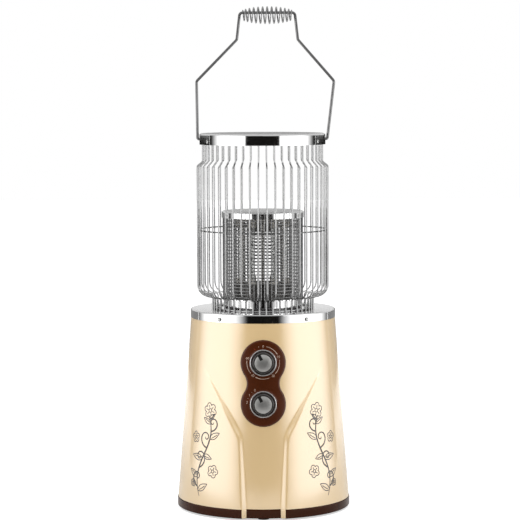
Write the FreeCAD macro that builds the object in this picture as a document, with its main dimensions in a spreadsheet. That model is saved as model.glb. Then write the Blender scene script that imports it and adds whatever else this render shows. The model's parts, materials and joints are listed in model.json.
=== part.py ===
import FreeCAD, Part
import math
import os
import Sketcher

# An all-round radiant heater: conical base, heating head, wire cage and carrying bail.
# Origin on the floor under the middle, +Z up, the control panel looks along -Y.

# Driving sizes in millimetres, angles in degrees
SIZES = {
    # clearances shared by all pieces
    "cut_overrun": 1.0,
    "weld_gap": 0.05,
    "shaft_fit": 0.05,
    "screw_fit": 0.1,
    "seat_gap": 0.2,
    # base ring, bottom plate and feet
    "ring_clearance": 3.5,
    "foot_count": 6,
    "foot_setback": 24.0,
    "foot_top_radius": 11.0,
    "foot_bottom_radius": 9.8,
    "foot_bore_radius": 4.6,
    "foot_bore_depth": 5.0,
    "foot_screw_head_radius": 4.0,
    "foot_screw_head_height": 2.6,
    "foot_screw_radius": 2.0,
    "ring_proud": 1.0,
    "ring_height": 16.5,
    "ring_band": 7.0,
    "ring_edge_round": 1.6,
    "web_recess": 8.5,
    "web_thickness": 3.0,
    "web_width": 42.0,
    "upstand_setback": 10.0,
    "upstand_wall": 2.5,
    "upstand_height": 8.0,
    "bottom_plate_setback": 11.0,
    "bottom_plate_thickness": 1.2,
    # body shell and its front relief
    "shell_bottom_radius": 155.8,
    "shell_height": 327.1,
    "shell_lean": 4.39,
    "shell_wall": 2.5,
    "neck_wall": 2.4,
    "neck_overlap": 10.0,
    "relief_depth": 4.6,
    "relief_half_width": 37.5,
    "relief_turn_drop": 200.5,
    "relief_fade_drop": 82.0,
    "relief_half_spread": 105.0,
    # control panel
    "panel_lobe_radius": 40.0,
    "panel_upper_drop": 68.65,
    "panel_lower_drop": 141.6,
    "panel_waist_width": 58.0,
    "panel_thickness": 2.6,
    # knobs and their rings
    "bezel_radius": 23.3,
    "bezel_width": 2.8,
    "bezel_height": 2.2,
    "bezel_round": 0.9,
    "knob_radius": 19.6,
    "knob_top_radius": 16.9,
    "knob_skirt_edge": 2.0,
    "knob_height": 13.0,
    "knob_lift": 0.8,
    "knob_cavity_radius": 14.0,
    "knob_roof": 4.0,
    "knob_hub_radius": 6.0,
    "knob_hub_length": 5.4,
    "face_radius": 15.15,
    "face_thickness": 1.4,
    "face_recess": 1.2,
    "notch_width": 5.6,
    "notch_length": 9.6,
    "pointer_angle": 28.0,
    # timer and power switch behind the panel
    "shaft_radius": 3.0,
    "bush_radius": 5.0,
    "bush_tail": 0.8,
    "nut_flat_radius": 7.0,
    "nut_height": 2.4,
    "case_setback": 11.0,
    "case_bore_depth": 14.0,
    "timer_case_width": 46.0,
    "timer_case_depth": 32.0,
    "power_case_width": 36.0,
    "power_case_depth": 26.0,
    # cord inlet, terminals and tip-over switch
    "gland_height": 26.0,
    "gland_flange_radius": 11.0,
    "gland_flange_thickness": 4.0,
    "gland_body_radius": 8.0,
    "gland_body_length": 14.0,
    "gland_bore_radius": 4.2,
    "gland_barb_radius": 9.2,
    "terminal_length": 62.0,
    "terminal_width": 22.0,
    "terminal_height": 20.0,
    "terminal_offset": 66.0,
    "terminal_hole_radius": 2.6,
    "terminal_hole_pitch": 18.0,
    "terminal_hole_count": 3,
    "tilt_offset_side": -62.0,
    "tilt_offset_back": 14.0,
    "tilt_base_width": 30.0,
    "tilt_base_length": 40.0,
    "tilt_sheet": 2.0,
    "tilt_cheek_height": 48.0,
    "tilt_pin_height": 41.0,
    "tilt_pin_radius": 2.0,
    "tilt_arm_length": 22.0,
    "tilt_arm_radius": 2.6,
    "tilt_bob_radius": 7.0,
    "tilt_bob_height": 10.0,
    # top plate
    "collar_height": 15.5,
    "collar_proud": 0.5,
    "collar_sheet": 1.2,
    "collar_edge_round": 2.4,
    "collar_fit": 0.4,
    "collar_screw_count": 5,
    "collar_screw_rise": 5.0,
    "collar_screw_radius": 1.8,
    "collar_screw_head_radius": 3.6,
    "collar_screw_head_height": 2.0,
    "collar_screw_length": 5.0,
    "lead_hole_setback": 20.0,
    "lead_hole_radius": 7.0,
    "shield_setback": 15.5,
    "shield_rim": 5.0,
    "shield_depth": 17.0,
    "shield_sheet": 0.8,
    "lead_radius": 1.2,
    "lead_bend": 40.0,
    "lead_end_gap": 0.3,
    "lead_spread": 14.0,
    # heating head
    "pedestal_height": 20.0,
    "pedestal_setback": 2.6,
    "pedestal_wall": 2.0,
    "pedestal_flange_step": 2.0,
    "pedestal_hole_setback": 6.0,
    "holder_setback": 20.6,
    "lower_holder_height": 25.0,
    "lower_holder_roof": 4.0,
    "lower_holder_wall": 2.5,
    "upper_holder_thickness": 5.6,
    "upper_holder_drop": 1.4,
    "hub_setback": 11.5,
    "hub_height": 18.0,
    "rod_radius": 4.0,
    "rod_tip_radius": 3.0,
    "rod_tip_length": 3.0,
    "tube_count": 6,
    "tube_setback": 12.0,
    "tube_radius": 5.6,
    "tube_wall": 1.0,
    "tube_cap_radius": 7.6,
    "tube_cap_height": 10.0,
    "tube_cap_floor": 2.0,
    "core_radius": 2.2,
    # fine mesh guard
    "guard_setback": 19.4,
    "guard_height": 145.0,
    "guard_wire_radius": 0.45,
    "guard_wire_count": 72,
    "guard_hoop_count": 22,
    "guard_cap_step": 1.9,
    "guard_cap_height": 12.0,
    "guard_cap_sheet": 0.8,
    "guard_cap_round": 3.0,
    "guard_rivet_count": 3,
    "guard_rivet_radius": 0.9,
    "guard_rivet_head_radius": 2.2,
    "guard_rivet_head_height": 1.0,
    # outer cage
    "cage_wire_count": 48,
    "cage_wire_radius": 1.25,
    "cage_shoulder_step": 10.0,
    "cage_side_radius": 118.5,
    "cage_foot_step": 26.5,
    "cage_foot_height": 23.0,
    "cage_side_height": 235.0,
    "cage_shoulder_rise": 8.0,
    "cage_neck_height": 31.0,
    "cage_jog_bend": 5.0,
    "cage_side_bend": 19.0,
    "cage_foot_bend": 5.0,
    "cage_hoop_height": 142.5,
    "cage_hoop_radius": 1.25,
    "cage_foot_ring_radius": 1.5,
    "clip_length": 15.0,
    "clip_width": 9.0,
    "clip_sheet": 1.4,
    "clip_overlap": 4.0,
    "clip_screw_radius": 1.8,
    "clip_screw_head_radius": 3.4,
    "clip_screw_head_height": 1.8,
    "clip_screw_length": 6.0,
    # cage lid
    "cage_band_sheet": 2.95,
    "cap_height": 20.0,
    "cap_sheet": 1.0,
    "cap_round": 3.0,
    "cap_rivet_count": 3,
    "cap_rivet_rise": 6.0,
    "cap_rivet_radius": 1.5,
    "cap_rivet_head_radius": 3.2,
    "cap_rivet_head_height": 1.5,
    # carrying bail and its coil grip
    "pivot_drop": 10.5,
    "bail_wire_radius": 2.5,
    "bail_gap": 0.9,
    "bail_pin_bend": 3.0,
    "bail_head_radius": 4.0,
    "bail_head_length": 2.4,
    "bail_head_gap": 1.0,
    "bail_shoulder_rise": 104.2,
    "bail_shoulder_half_width": 124.0,
    "bail_shoulder_lean": 5.4,
    "bail_neck_rise": 74.4,
    "bail_neck_half_width": 55.0,
    "bail_crown_rise": 48.4,
    "bail_crown_half_width": 49.6,
    "bail_crown_lean": 9.3,
    "bail_bend": 8.0,
    "bail_crown_bend": 6.0,
    "grip_turns": 12,
    "grip_span": 88.0,
    "grip_wire_radius": 1.25,
    "grip_middle_radius": 15.1,
    "grip_end_radius": 8.6,
    "grip_hang_gap": 0.3,
    "grip_crowding_share": 0.11,
}

X_AXIS = FreeCAD.Vector(1, 0, 0)
Z_AXIS = FreeCAD.Vector(0, 0, 1)
ORIGIN = FreeCAD.Vector(0, 0, 0)
FULL_TURN = 360.0
QUARTER_TURN = 90.0


class Dim:
    """A size: its value now and the sheet expression that it comes from."""

    def __init__(self, text, value):
        self.text = text
        self.value = float(value)

    def __add__(self, other):
        other = as_dim(other)
        return Dim(f"({self.text} + {other.text})", self.value + other.value)

    def __sub__(self, other):
        other = as_dim(other)
        return Dim(f"({self.text} - {other.text})", self.value - other.value)

    def __mul__(self, other):
        other = as_dim(other)
        return Dim(f"({self.text} * {other.text})", self.value * other.value)

    def __truediv__(self, other):
        other = as_dim(other)
        return Dim(f"({self.text} / {other.text})", self.value / other.value)

    def __rsub__(self, other):
        return as_dim(other) - self

    def __neg__(self):
        return Dim(f"(0 - {self.text})", -self.value)


def as_dim(number):
    """A plain count or ratio as a Dim, so that it can stand in a sum of sizes."""
    return number if isinstance(number, Dim) else Dim(repr(number), number)


ZERO = as_dim(0)


def sine(angle):
    return Dim(f"sin({angle.text})", math.sin(math.radians(angle.value)))


def cosine(angle):
    return Dim(f"cos({angle.text})", math.cos(math.radians(angle.value)))


def tangent(angle):
    return Dim(f"tan({angle.text})", math.tan(math.radians(angle.value)))


class SizeSheet:
    """The spreadsheet of driving sizes; each alias reads as an attribute."""

    def __init__(self, doc, sizes):
        self.sheet = doc.addObject("Spreadsheet::Sheet", "Sizes")
        for row, (alias, value) in enumerate(sizes.items(), start=1):
            self.sheet.set(f"A{row}", alias)
            self.sheet.set(f"B{row}", str(value))
            self.sheet.setAlias(f"B{row}", alias)
        doc.recompute()

    def __getattr__(self, alias):
        return Dim(f"Sizes.{alias}", self.sheet.get(alias))


doc = FreeCAD.newDocument("radiant_heater")
s = SizeSheet(doc, SIZES)
NODES = {}

# Heights above the floor, stacked from the feet up
ring_bottom = s.ring_clearance
web_bottom = ring_bottom + s.web_recess
web_top = web_bottom + s.web_thickness
plate_under = web_bottom - s.bottom_plate_thickness
ring_top = ring_bottom + s.ring_height
shell_top = ring_top + s.shell_height
deck = shell_top + s.collar_height
deck_under = deck - s.collar_sheet
pedestal_top = deck + s.pedestal_height
guard_cap_bottom = pedestal_top + s.guard_height
guard_cap_top = guard_cap_bottom + s.guard_cap_height
cage_bend_height = deck + s.cage_foot_height
cage_shoulder = cage_bend_height + s.cage_side_height
cage_neck = cage_shoulder + s.cage_shoulder_rise
cap_bottom = cage_neck + s.cage_neck_height
cap_top = cap_bottom + s.cap_height
pivot_height = cap_top - s.pivot_drop

# Heights on the shell, from its lower edge
relief_turn_height = s.shell_height - s.relief_turn_drop
relief_fade_height = s.shell_height - s.relief_fade_drop
panel_upper_height = s.shell_height - s.panel_upper_drop
panel_lower_height = s.shell_height - s.panel_lower_drop

# Radii that several pieces share
ring_radius = s.shell_bottom_radius + s.ring_proud
foot_circle_radius = ring_radius - s.foot_setback
web_inner_radius = ring_radius - s.web_width
upstand_radius = ring_radius - s.upstand_setback
bottom_plate_radius = ring_radius - s.bottom_plate_setback
lean_rise = tangent(s.shell_lean)
shell_top_radius = s.shell_bottom_radius - s.shell_height * lean_rise
shield_radius = shell_top_radius - s.shield_setback
collar_radius = shell_top_radius + s.collar_proud
collar_inner_radius = collar_radius - s.collar_sheet
neck_radius = collar_inner_radius - s.collar_fit
cage_neck_radius = s.cage_side_radius - s.cage_shoulder_step
cage_foot_radius = s.cage_side_radius - s.cage_foot_step
guard_radius = cage_foot_radius - s.guard_setback
guard_cap_radius = guard_radius + s.guard_cap_step
pedestal_radius = guard_radius - s.pedestal_setback
pedestal_flange_radius = guard_radius + s.pedestal_flange_step
holder_radius = guard_radius - s.holder_setback
pedestal_hole_radius = holder_radius - s.pedestal_hole_setback
lead_hole_offset = holder_radius - s.lead_hole_setback
tube_circle_radius = holder_radius - s.tube_setback
hub_radius = tube_circle_radius - s.hub_setback
cage_band_inner_radius = cage_neck_radius + s.cage_wire_radius + s.weld_gap
cage_band_outer_radius = cage_band_inner_radius + s.cage_band_sheet
cap_inner_radius = cage_band_outer_radius + s.weld_gap
cap_radius = cap_inner_radius + s.cap_sheet
guard_cap_inner_radius = guard_cap_radius - s.guard_cap_sheet
guard_band_inner_radius = guard_radius + s.guard_wire_radius + s.weld_gap
guard_band_outer_radius = guard_cap_inner_radius - s.weld_gap


def shell_radius(height):
    """Outer radius of the plain cone at a height above the shell's lower edge."""
    return s.shell_bottom_radius - height * lean_rise


def add_node(obj, label):
    """Names an object as one sub-part of the heater."""
    obj.Label = label
    NODES[label] = obj
    return obj


def place(obj, x=ZERO, y=ZERO, z=ZERO, axis=Z_AXIS, turn=ZERO):
    """Moves and turns an object, with the place bound to the sheet."""
    base = FreeCAD.Vector(x.value, y.value, z.value)
    obj.Placement = FreeCAD.Placement(base, FreeCAD.Rotation(axis, turn.value))
    obj.setExpression("Placement.Base.x", x.text)
    obj.setExpression("Placement.Base.y", y.text)
    obj.setExpression("Placement.Base.z", z.text)
    if turn is not ZERO:
        obj.setExpression("Placement.Rotation.Angle", turn.text)
    return obj


def bind(obj, **sizes):
    """Binds properties of an object to sizes."""
    for prop, size in sizes.items():
        obj.setExpression(prop, size.text)
    return obj


# Sketches


def origin_feature(body, role):
    """The origin plane or axis of a body with the given role."""
    return next(f for f in body.Origin.OriginFeatures if f.Role == role)


def new_sketch(body, name, plane):
    """A sketch on one of the body's own origin planes."""
    sketch = body.newObject("Sketcher::SketchObject", name)
    sketch.AttachmentSupport = [(origin_feature(body, plane), "")]
    sketch.MapMode = "FlatFace"
    return sketch


def fix_point(sketch, geometry, end, x, y):
    """Holds a point of a sketch at x, y, each zero or bound to the sheet."""
    for kind, size, axis in (("DistanceX", x, -2), ("DistanceY", y, -1)):
        if size is ZERO:
            sketch.addConstraint(Sketcher.Constraint("PointOnObject", geometry, end, axis))
            continue
        constraint = Sketcher.Constraint(kind, -1, 1, geometry, end, size.value)
        index = sketch.addConstraint(constraint)
        sketch.setExpression(f"Constraints[{index}]", size.text)


def draw_outline(sketch, points):
    """Draws a closed outline of straight lines, every corner bound to the sheet."""
    corners = [FreeCAD.Vector(x.value, y.value, 0) for x, y in points]
    first = sketch.GeometryCount
    count = len(corners)
    for start, end in zip(corners, corners[1:] + corners[:1]):
        sketch.addGeometry(Part.LineSegment(start, end), False)
    for i in range(count):
        after = first + (i + 1) % count
        sketch.addConstraint(Sketcher.Constraint("Coincident", first + i, 2, after, 1))
    for i, (x, y) in enumerate(points):
        fix_point(sketch, first + i, 1, x, y)


def draw_circle(sketch, x, y, radius):
    """Draws a circle with its middle and radius bound to the sheet."""
    middle = FreeCAD.Vector(x.value, y.value, 0)
    index = sketch.addGeometry(Part.Circle(middle, Z_AXIS, radius.value), False)
    fix_point(sketch, index, 3, x, y)
    constraint = sketch.addConstraint(Sketcher.Constraint("Radius", index, radius.value))
    sketch.setExpression(f"Constraints[{constraint}]", radius.text)


def draw_polygon(sketch, flat_radius, sides):
    """Draws a regular polygon about the origin, given the radius to its flats."""
    corner = flat_radius / cosine(as_dim(FULL_TURN / sides / 2))
    angles = [as_dim(FULL_TURN / sides * (i + 0.5)) for i in range(sides)]
    draw_outline(sketch, [(corner * cosine(a), corner * sine(a)) for a in angles])


# Bodies


def new_body(name):
    return doc.addObject("PartDesign::Body", name)


def add_revolution(body, points, kind="Revolution"):
    """Turns an outline of (radius, height) points about the body's Z axis."""
    sketch = new_sketch(body, f"{body.Name}_profile", "XZ_Plane")
    draw_outline(sketch, points)
    turned = body.newObject(f"PartDesign::{kind}", f"{body.Name}_{kind.lower()}")
    turned.Profile = sketch
    turned.ReferenceAxis = (sketch, ["V_Axis"])
    turned.Angle = FULL_TURN
    doc.recompute()
    return turned


def turned_body(name, points):
    """A body turned from an outline of (radius, height) points."""
    body = new_body(name)
    add_revolution(body, points)
    return body


def add_pad(body, draw, length, plane="XY_Plane", down=False):
    """Pads what draw(sketch) puts on an origin plane of the body."""
    sketch = new_sketch(body, f"{body.Name}_pad_sketch", plane)
    draw(sketch)
    pad = body.newObject("PartDesign::Pad", f"{body.Name}_pad")
    pad.Profile = sketch
    pad.Reversed = down
    bind(pad, Length=length)
    doc.recompute()
    return pad


def add_pocket(body, draw, length, plane="XY_Plane", both_ways=False, turn_round=False):
    """Cuts what draw(sketch) puts on an origin plane, and makes sure that it cuts."""
    before = body.Shape.Volume
    sketch = new_sketch(body, f"{body.Name}_cut_sketch", plane)
    draw(sketch)
    pocket = body.newObject("PartDesign::Pocket", f"{body.Name}_pocket")
    pocket.Profile = sketch
    pocket.Midplane = both_ways
    pocket.Reversed = turn_round
    bind(pocket, Length=length)
    doc.recompute()
    if body.Shape.Volume >= before:
        raise RuntimeError(f"{body.Name}: the pocket cut nothing")
    return pocket


def add_polar_pattern(body, feature, count):
    """Repeats a feature evenly about the body's Z axis."""
    pattern = body.newObject("PartDesign::PolarPattern", f"{body.Name}_pattern")
    pattern.Originals = [feature]
    pattern.Axis = (origin_feature(body, "Z_Axis"), [""])
    pattern.Angle = FULL_TURN
    bind(pattern, Occurrences=count)
    body.Tip = pattern
    doc.recompute()
    return pattern


def round_rims(body, radius, rims):
    """Rounds the circular rims of a turned body, each given as (radius, height)."""
    base = body.Tip
    names = []
    for index, edge in enumerate(base.Shape.Edges, start=1):
        if not isinstance(edge.Curve, Part.Circle):
            continue
        for rim_radius, rim_height in rims:
            same_radius = abs(edge.Curve.Radius - rim_radius.value) < Part.Precision.confusion()
            same_height = abs(edge.Curve.Center.z - rim_height.value) < Part.Precision.confusion()
            if same_radius and same_height:
                names.append(f"Edge{index}")
    fillet = body.newObject("PartDesign::Fillet", f"{body.Name}_fillet")
    fillet.Base = (base, names)
    bind(fillet, Radius=radius)
    doc.recompute()
    return fillet


def radial_fasteners(name, points, height, count):
    """Headed pins that point at the Z axis, turned from (distance, radius) points."""
    body = new_body(name)
    sketch = new_sketch(body, f"{name}_profile", "YZ_Plane")
    draw_outline(sketch, [(distance, height + radius) for distance, radius in points])
    inner = points[0][0]
    outer = points[-1][0]
    line = Part.LineSegment(
        FreeCAD.Vector(inner.value, height.value, 0), FreeCAD.Vector(outer.value, height.value, 0)
    )
    axis = sketch.addGeometry(line, True)
    fix_point(sketch, axis, 1, inner, height)
    fix_point(sketch, axis, 2, outer, height)
    turned = body.newObject("PartDesign::Revolution", f"{name}_revolution")
    turned.Profile = sketch
    turned.ReferenceAxis = (sketch, ["Axis0"])
    turned.Angle = FULL_TURN
    doc.recompute()
    add_polar_pattern(body, turned, count)
    return body


def headed_pin(inner, seat, shank_radius, head_radius, head_height):
    """Outline of a pin from its inner end to the top of its rounded head."""
    shoulder = seat + head_height / 2
    top = seat + head_height
    return [
        (inner, ZERO),
        (inner, shank_radius),
        (seat, shank_radius),
        (seat, head_radius),
        (shoulder, head_radius),
        (top, head_radius / 2),
        (top, ZERO),
    ]


# Booleans


def cut(name, base, *tools):
    """The base less every tool."""
    for index, tool in enumerate(tools):
        step = doc.addObject("Part::Cut", f"{name}_cut_{index}")
        step.Base = base
        step.Tool = tool
        base = step
    return base


def fuse(name, *shapes):
    joined = doc.addObject("Part::MultiFuse", f"{name}_fuse")
    joined.Shapes = list(shapes)
    joined.Refine = True
    return joined


def cylinder(name, radius, height):
    return bind(doc.addObject("Part::Cylinder", name), Radius=radius, Height=height)


def front_prism(name, points, depth):
    """Extrudes a front-view outline of (x, z) points from the middle towards the front."""
    sketch = doc.addObject("Sketcher::SketchObject", f"{name}_outline")
    place(sketch, axis=X_AXIS, turn=as_dim(QUARTER_TURN))
    draw_outline(sketch, points)
    return extrude_forward(name, sketch, depth)


def extrude_forward(name, sketch, depth):
    prism = doc.addObject("Part::Extrusion", name)
    prism.Base = sketch
    prism.DirMode = "Normal"
    prism.Solid = True
    return bind(prism, LengthFwd=depth)


# Bent wires


def bent_path(points, bends):
    """Straight runs through the points, joined by arcs of the given bend radii."""
    corners = list(points)
    edges = []
    start = corners[0]
    for before, corner, after, bend in zip(corners, corners[1:], corners[2:], bends):
        into = (corner - before).normalize()
        out = (after - corner).normalize()
        turn = into.getAngle(out)
        reach = bend * math.tan(turn / 2)
        arc_start = corner - into * reach
        arc_end = corner + out * reach
        inward = (out - into).normalize()
        centre = corner + inward * (bend / math.cos(turn / 2))
        edges.append(Part.LineSegment(start, arc_start).toShape())
        edges.append(Part.Arc(arc_start, centre - inward * bend, arc_end).toShape())
        start = arc_end
    edges.append(Part.LineSegment(start, corners[-1]).toShape())
    return Part.Wire(edges)


def swept_tube(path, radius):
    """A round tube along a path of lines and arcs."""
    first = path.Edges[0]
    start = first.valueAt(first.FirstParameter)
    heading = first.tangentAt(first.FirstParameter)
    section = Part.Wire([Part.Circle(start, heading, radius).toShape()])
    return path.makePipeShell([section], True, False)


def shape_node(label, shape):
    """A sub-part whose shape is built directly, from sizes read off the sheet."""
    obj = doc.addObject("Part::Feature", label)
    obj.Shape = shape
    obj.Placement = FreeCAD.Placement()
    return add_node(obj, label)


def turned_copies(shape, count, first_angle):
    """Copies of a shape, spaced evenly about the Z axis."""
    copies = []
    for index in range(count):
        copy = shape.copy()
        copy.rotate(ORIGIN, Z_AXIS, first_angle + FULL_TURN / count * index)
        copies.append(copy)
    return Part.makeCompound(copies)


# Base ring, bottom plate and feet


def make_base_ring():
    band_inner = ring_radius - s.ring_band
    upstand_inner = upstand_radius - s.upstand_wall
    upstand_top = ring_top + s.upstand_height
    body = turned_body("ring_blank", [
        (web_inner_radius, web_bottom),
        (band_inner, web_bottom),
        (band_inner, ring_bottom),
        (ring_radius, ring_bottom),
        (ring_radius, ring_top),
        (band_inner, ring_top),
        (band_inner, web_top),
        (upstand_radius, web_top),
        (upstand_radius, upstand_top),
        (upstand_inner, upstand_top),
        (upstand_inner, web_top),
        (web_inner_radius, web_top),
    ])
    round_rims(body, s.ring_edge_round, [(ring_radius, ring_bottom), (ring_radius, ring_top)])
    pocket = add_pocket(
        body,
        lambda sketch: draw_circle(sketch, ZERO, foot_circle_radius, s.foot_screw_radius + s.screw_fit),
        ring_top,
        turn_round=True,
    )
    add_polar_pattern(body, pocket, s.foot_count)
    low = ring_bottom - s.cut_overrun
    high = ring_top + s.cut_overrun
    width = s.relief_half_width
    prism = front_prism(
        "ring_relief_prism",
        [(-width, low), (width, low), (width, high), (-width, high)],
        ring_radius + s.cut_overrun,
    )
    floor = cylinder("ring_relief_floor", ring_radius - s.relief_depth, high + s.cut_overrun)
    add_node(cut("base_ring", body, cut("ring_relief", prism, floor)), "base_ring")


def make_bottom_plate():
    body = turned_body("bottom_plate", [
        (ZERO, plate_under),
        (bottom_plate_radius, plate_under),
        (bottom_plate_radius, web_bottom),
        (ZERO, web_bottom),
    ])
    pocket = add_pocket(
        body,
        lambda sketch: draw_circle(sketch, ZERO, foot_circle_radius, s.foot_screw_radius + s.screw_fit),
        web_top,
        turn_round=True,
    )
    add_polar_pattern(body, pocket, s.foot_count)
    add_node(body, "bottom_plate")


def make_feet():
    screw_hole = s.foot_screw_radius + s.screw_fit
    for index in range(SIZES["foot_count"]):
        body = turned_body(f"foot_{index + 1}", [
            (s.foot_bore_radius, ZERO),
            (s.foot_bottom_radius, ZERO),
            (s.foot_top_radius, plate_under),
            (screw_hole, plate_under),
            (screw_hole, s.foot_bore_depth),
            (s.foot_bore_radius, s.foot_bore_depth),
        ])
        angle = as_dim(FULL_TURN) / s.foot_count * index
        place(body, x=foot_circle_radius * sine(angle), y=-foot_circle_radius * cosine(angle))
        add_node(body, f"foot_{index + 1}")


def make_foot_screws():
    body = new_body("foot_screws")
    head_bottom = s.foot_bore_depth - s.foot_screw_head_height
    sketch = new_sketch(body, "foot_screw_profile", "YZ_Plane")
    outline = [
        (ZERO, head_bottom),
        (s.foot_screw_head_radius, head_bottom),
        (s.foot_screw_head_radius, s.foot_bore_depth),
        (s.foot_screw_radius, s.foot_bore_depth),
        (s.foot_screw_radius, web_top),
        (ZERO, web_top),
    ]
    draw_outline(sketch, [(foot_circle_radius + r, z) for r, z in outline])
    axis = sketch.addGeometry(Part.LineSegment(
        FreeCAD.Vector(foot_circle_radius.value, head_bottom.value, 0),
        FreeCAD.Vector(foot_circle_radius.value, web_top.value, 0),
    ), True)
    fix_point(sketch, axis, 1, foot_circle_radius, head_bottom)
    fix_point(sketch, axis, 2, foot_circle_radius, web_top)
    turned = body.newObject("PartDesign::Revolution", "foot_screw_revolution")
    turned.Profile = sketch
    turned.ReferenceAxis = (sketch, ["Axis0"])
    turned.Angle = FULL_TURN
    doc.recompute()
    add_polar_pattern(body, turned, s.foot_count)
    add_node(body, "foot_screws")


# Body shell with its recessed front


def square_hoop(radius, half_wire, height):
    """A hoop of square wire about the Z axis, its middle at a height."""
    foot = FreeCAD.Vector(0, 0, height - half_wire)
    outer = Part.makeCylinder(radius + half_wire, 2 * half_wire, foot)
    inner = Part.makeCylinder(radius - half_wire, 2 * half_wire, foot)
    return outer.cut(inner)


def relief_solid(name, offset):
    """The filled cone with its front recess, grown or shrunk by an offset."""
    top = shell_top_radius + offset
    cone = doc.addObject("Part::Cone", f"{name}_cone")
    bind(cone, Radius1=s.shell_bottom_radius + offset, Radius2=top, Height=s.shell_height)
    place(cone, z=ring_top)
    floor = doc.addObject("Part::Cone", f"{name}_floor")
    rise = s.relief_depth * (s.shell_height - relief_fade_height) / relief_fade_height
    bind(floor, Radius1=s.shell_bottom_radius - s.relief_depth + offset, Radius2=top + rise)
    bind(floor, Height=s.shell_height)
    place(floor, z=ring_top)
    width = s.relief_half_width - offset
    spread = s.relief_half_spread - offset
    low = ring_top - s.cut_overrun
    turn = ring_top + relief_turn_height
    fade = ring_top + relief_fade_height
    prism = front_prism(
        f"{name}_prism",
        [(-width, low), (width, low), (width, turn), (spread, fade), (-spread, fade), (-width, turn)],
        s.shell_bottom_radius + s.cut_overrun,
    )
    return cut(f"{name}_relief", cone, cut(f"{name}_recess", prism, floor))


def knob_seat_point(height):
    """Place on the plain cone, in the middle of the front, of a knob's axis."""
    return -shell_radius(height), ring_top + height


def place_on_front(obj, height, out=ZERO):
    """Stands an object on the front of the cone, its Z axis along the outward normal."""
    y, z = knob_seat_point(height)
    return place(
        obj,
        y=y - out * cosine(s.shell_lean),
        z=z + out * sine(s.shell_lean),
        axis=X_AXIS,
        turn=QUARTER_TURN - s.shell_lean,
    )


def bush_hole(name, height):
    """Cutter for a threaded bush through panel and shell."""
    reach = s.case_setback + s.panel_thickness + s.cut_overrun
    tool = cylinder(name, s.bush_radius + s.screw_fit, reach + s.cut_overrun)
    return place_on_front(tool, height, -s.case_setback)


def place_on_rear(obj, height, out=ZERO):
    """Stands an object on the rear of the cone, its Z axis along the outward normal."""
    return place(
        obj,
        y=shell_radius(height) + out * cosine(s.shell_lean),
        z=ring_top + height + out * sine(s.shell_lean),
        axis=X_AXIS,
        turn=s.shell_lean - QUARTER_TURN,
    )


def collar_screw_holes(name, inner, outer):
    """Cutter for the five collar screws."""
    body = new_body(name)
    sketch = new_sketch(body, f"{name}_sketch", "XZ_Plane")
    draw_circle(sketch, ZERO, shell_top + s.collar_screw_rise, s.collar_screw_radius + s.screw_fit)
    pad = body.newObject("PartDesign::Pad", f"{name}_pad")
    pad.Profile = sketch
    pad.Reversed = True
    sketch.setExpression("AttachmentOffset.Base.z", (-inner).text)
    bind(pad, Length=outer - inner)
    doc.recompute()
    add_polar_pattern(body, pad, s.collar_screw_count)
    return body


def make_body_shell():
    shell = cut("shell", relief_solid("shell_outer", ZERO), relief_solid("shell_inner", -s.shell_wall))
    neck_inner = neck_radius - s.neck_wall
    neck_bottom = shell_top - s.neck_overlap
    neck = turned_body("shell_neck", [
        (neck_inner, neck_bottom),
        (neck_radius, neck_bottom),
        (neck_radius, deck_under),
        (neck_inner, deck_under),
    ])
    gland_hole = cylinder("gland_hole", s.gland_body_radius + s.screw_fit, s.gland_body_length)
    place_on_rear(gland_hole, s.gland_height, -s.gland_body_length / 2)
    add_node(cut(
        "body_shell",
        fuse("shell_with_neck", shell, neck),
        bush_hole("shell_timer_hole", panel_upper_height),
        bush_hole("shell_power_hole", panel_lower_height),
        gland_hole,
        collar_screw_holes("neck_screw_holes", neck_inner - s.cut_overrun, neck_radius + s.cut_overrun),
    ), "body_shell")


# Control panel


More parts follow.
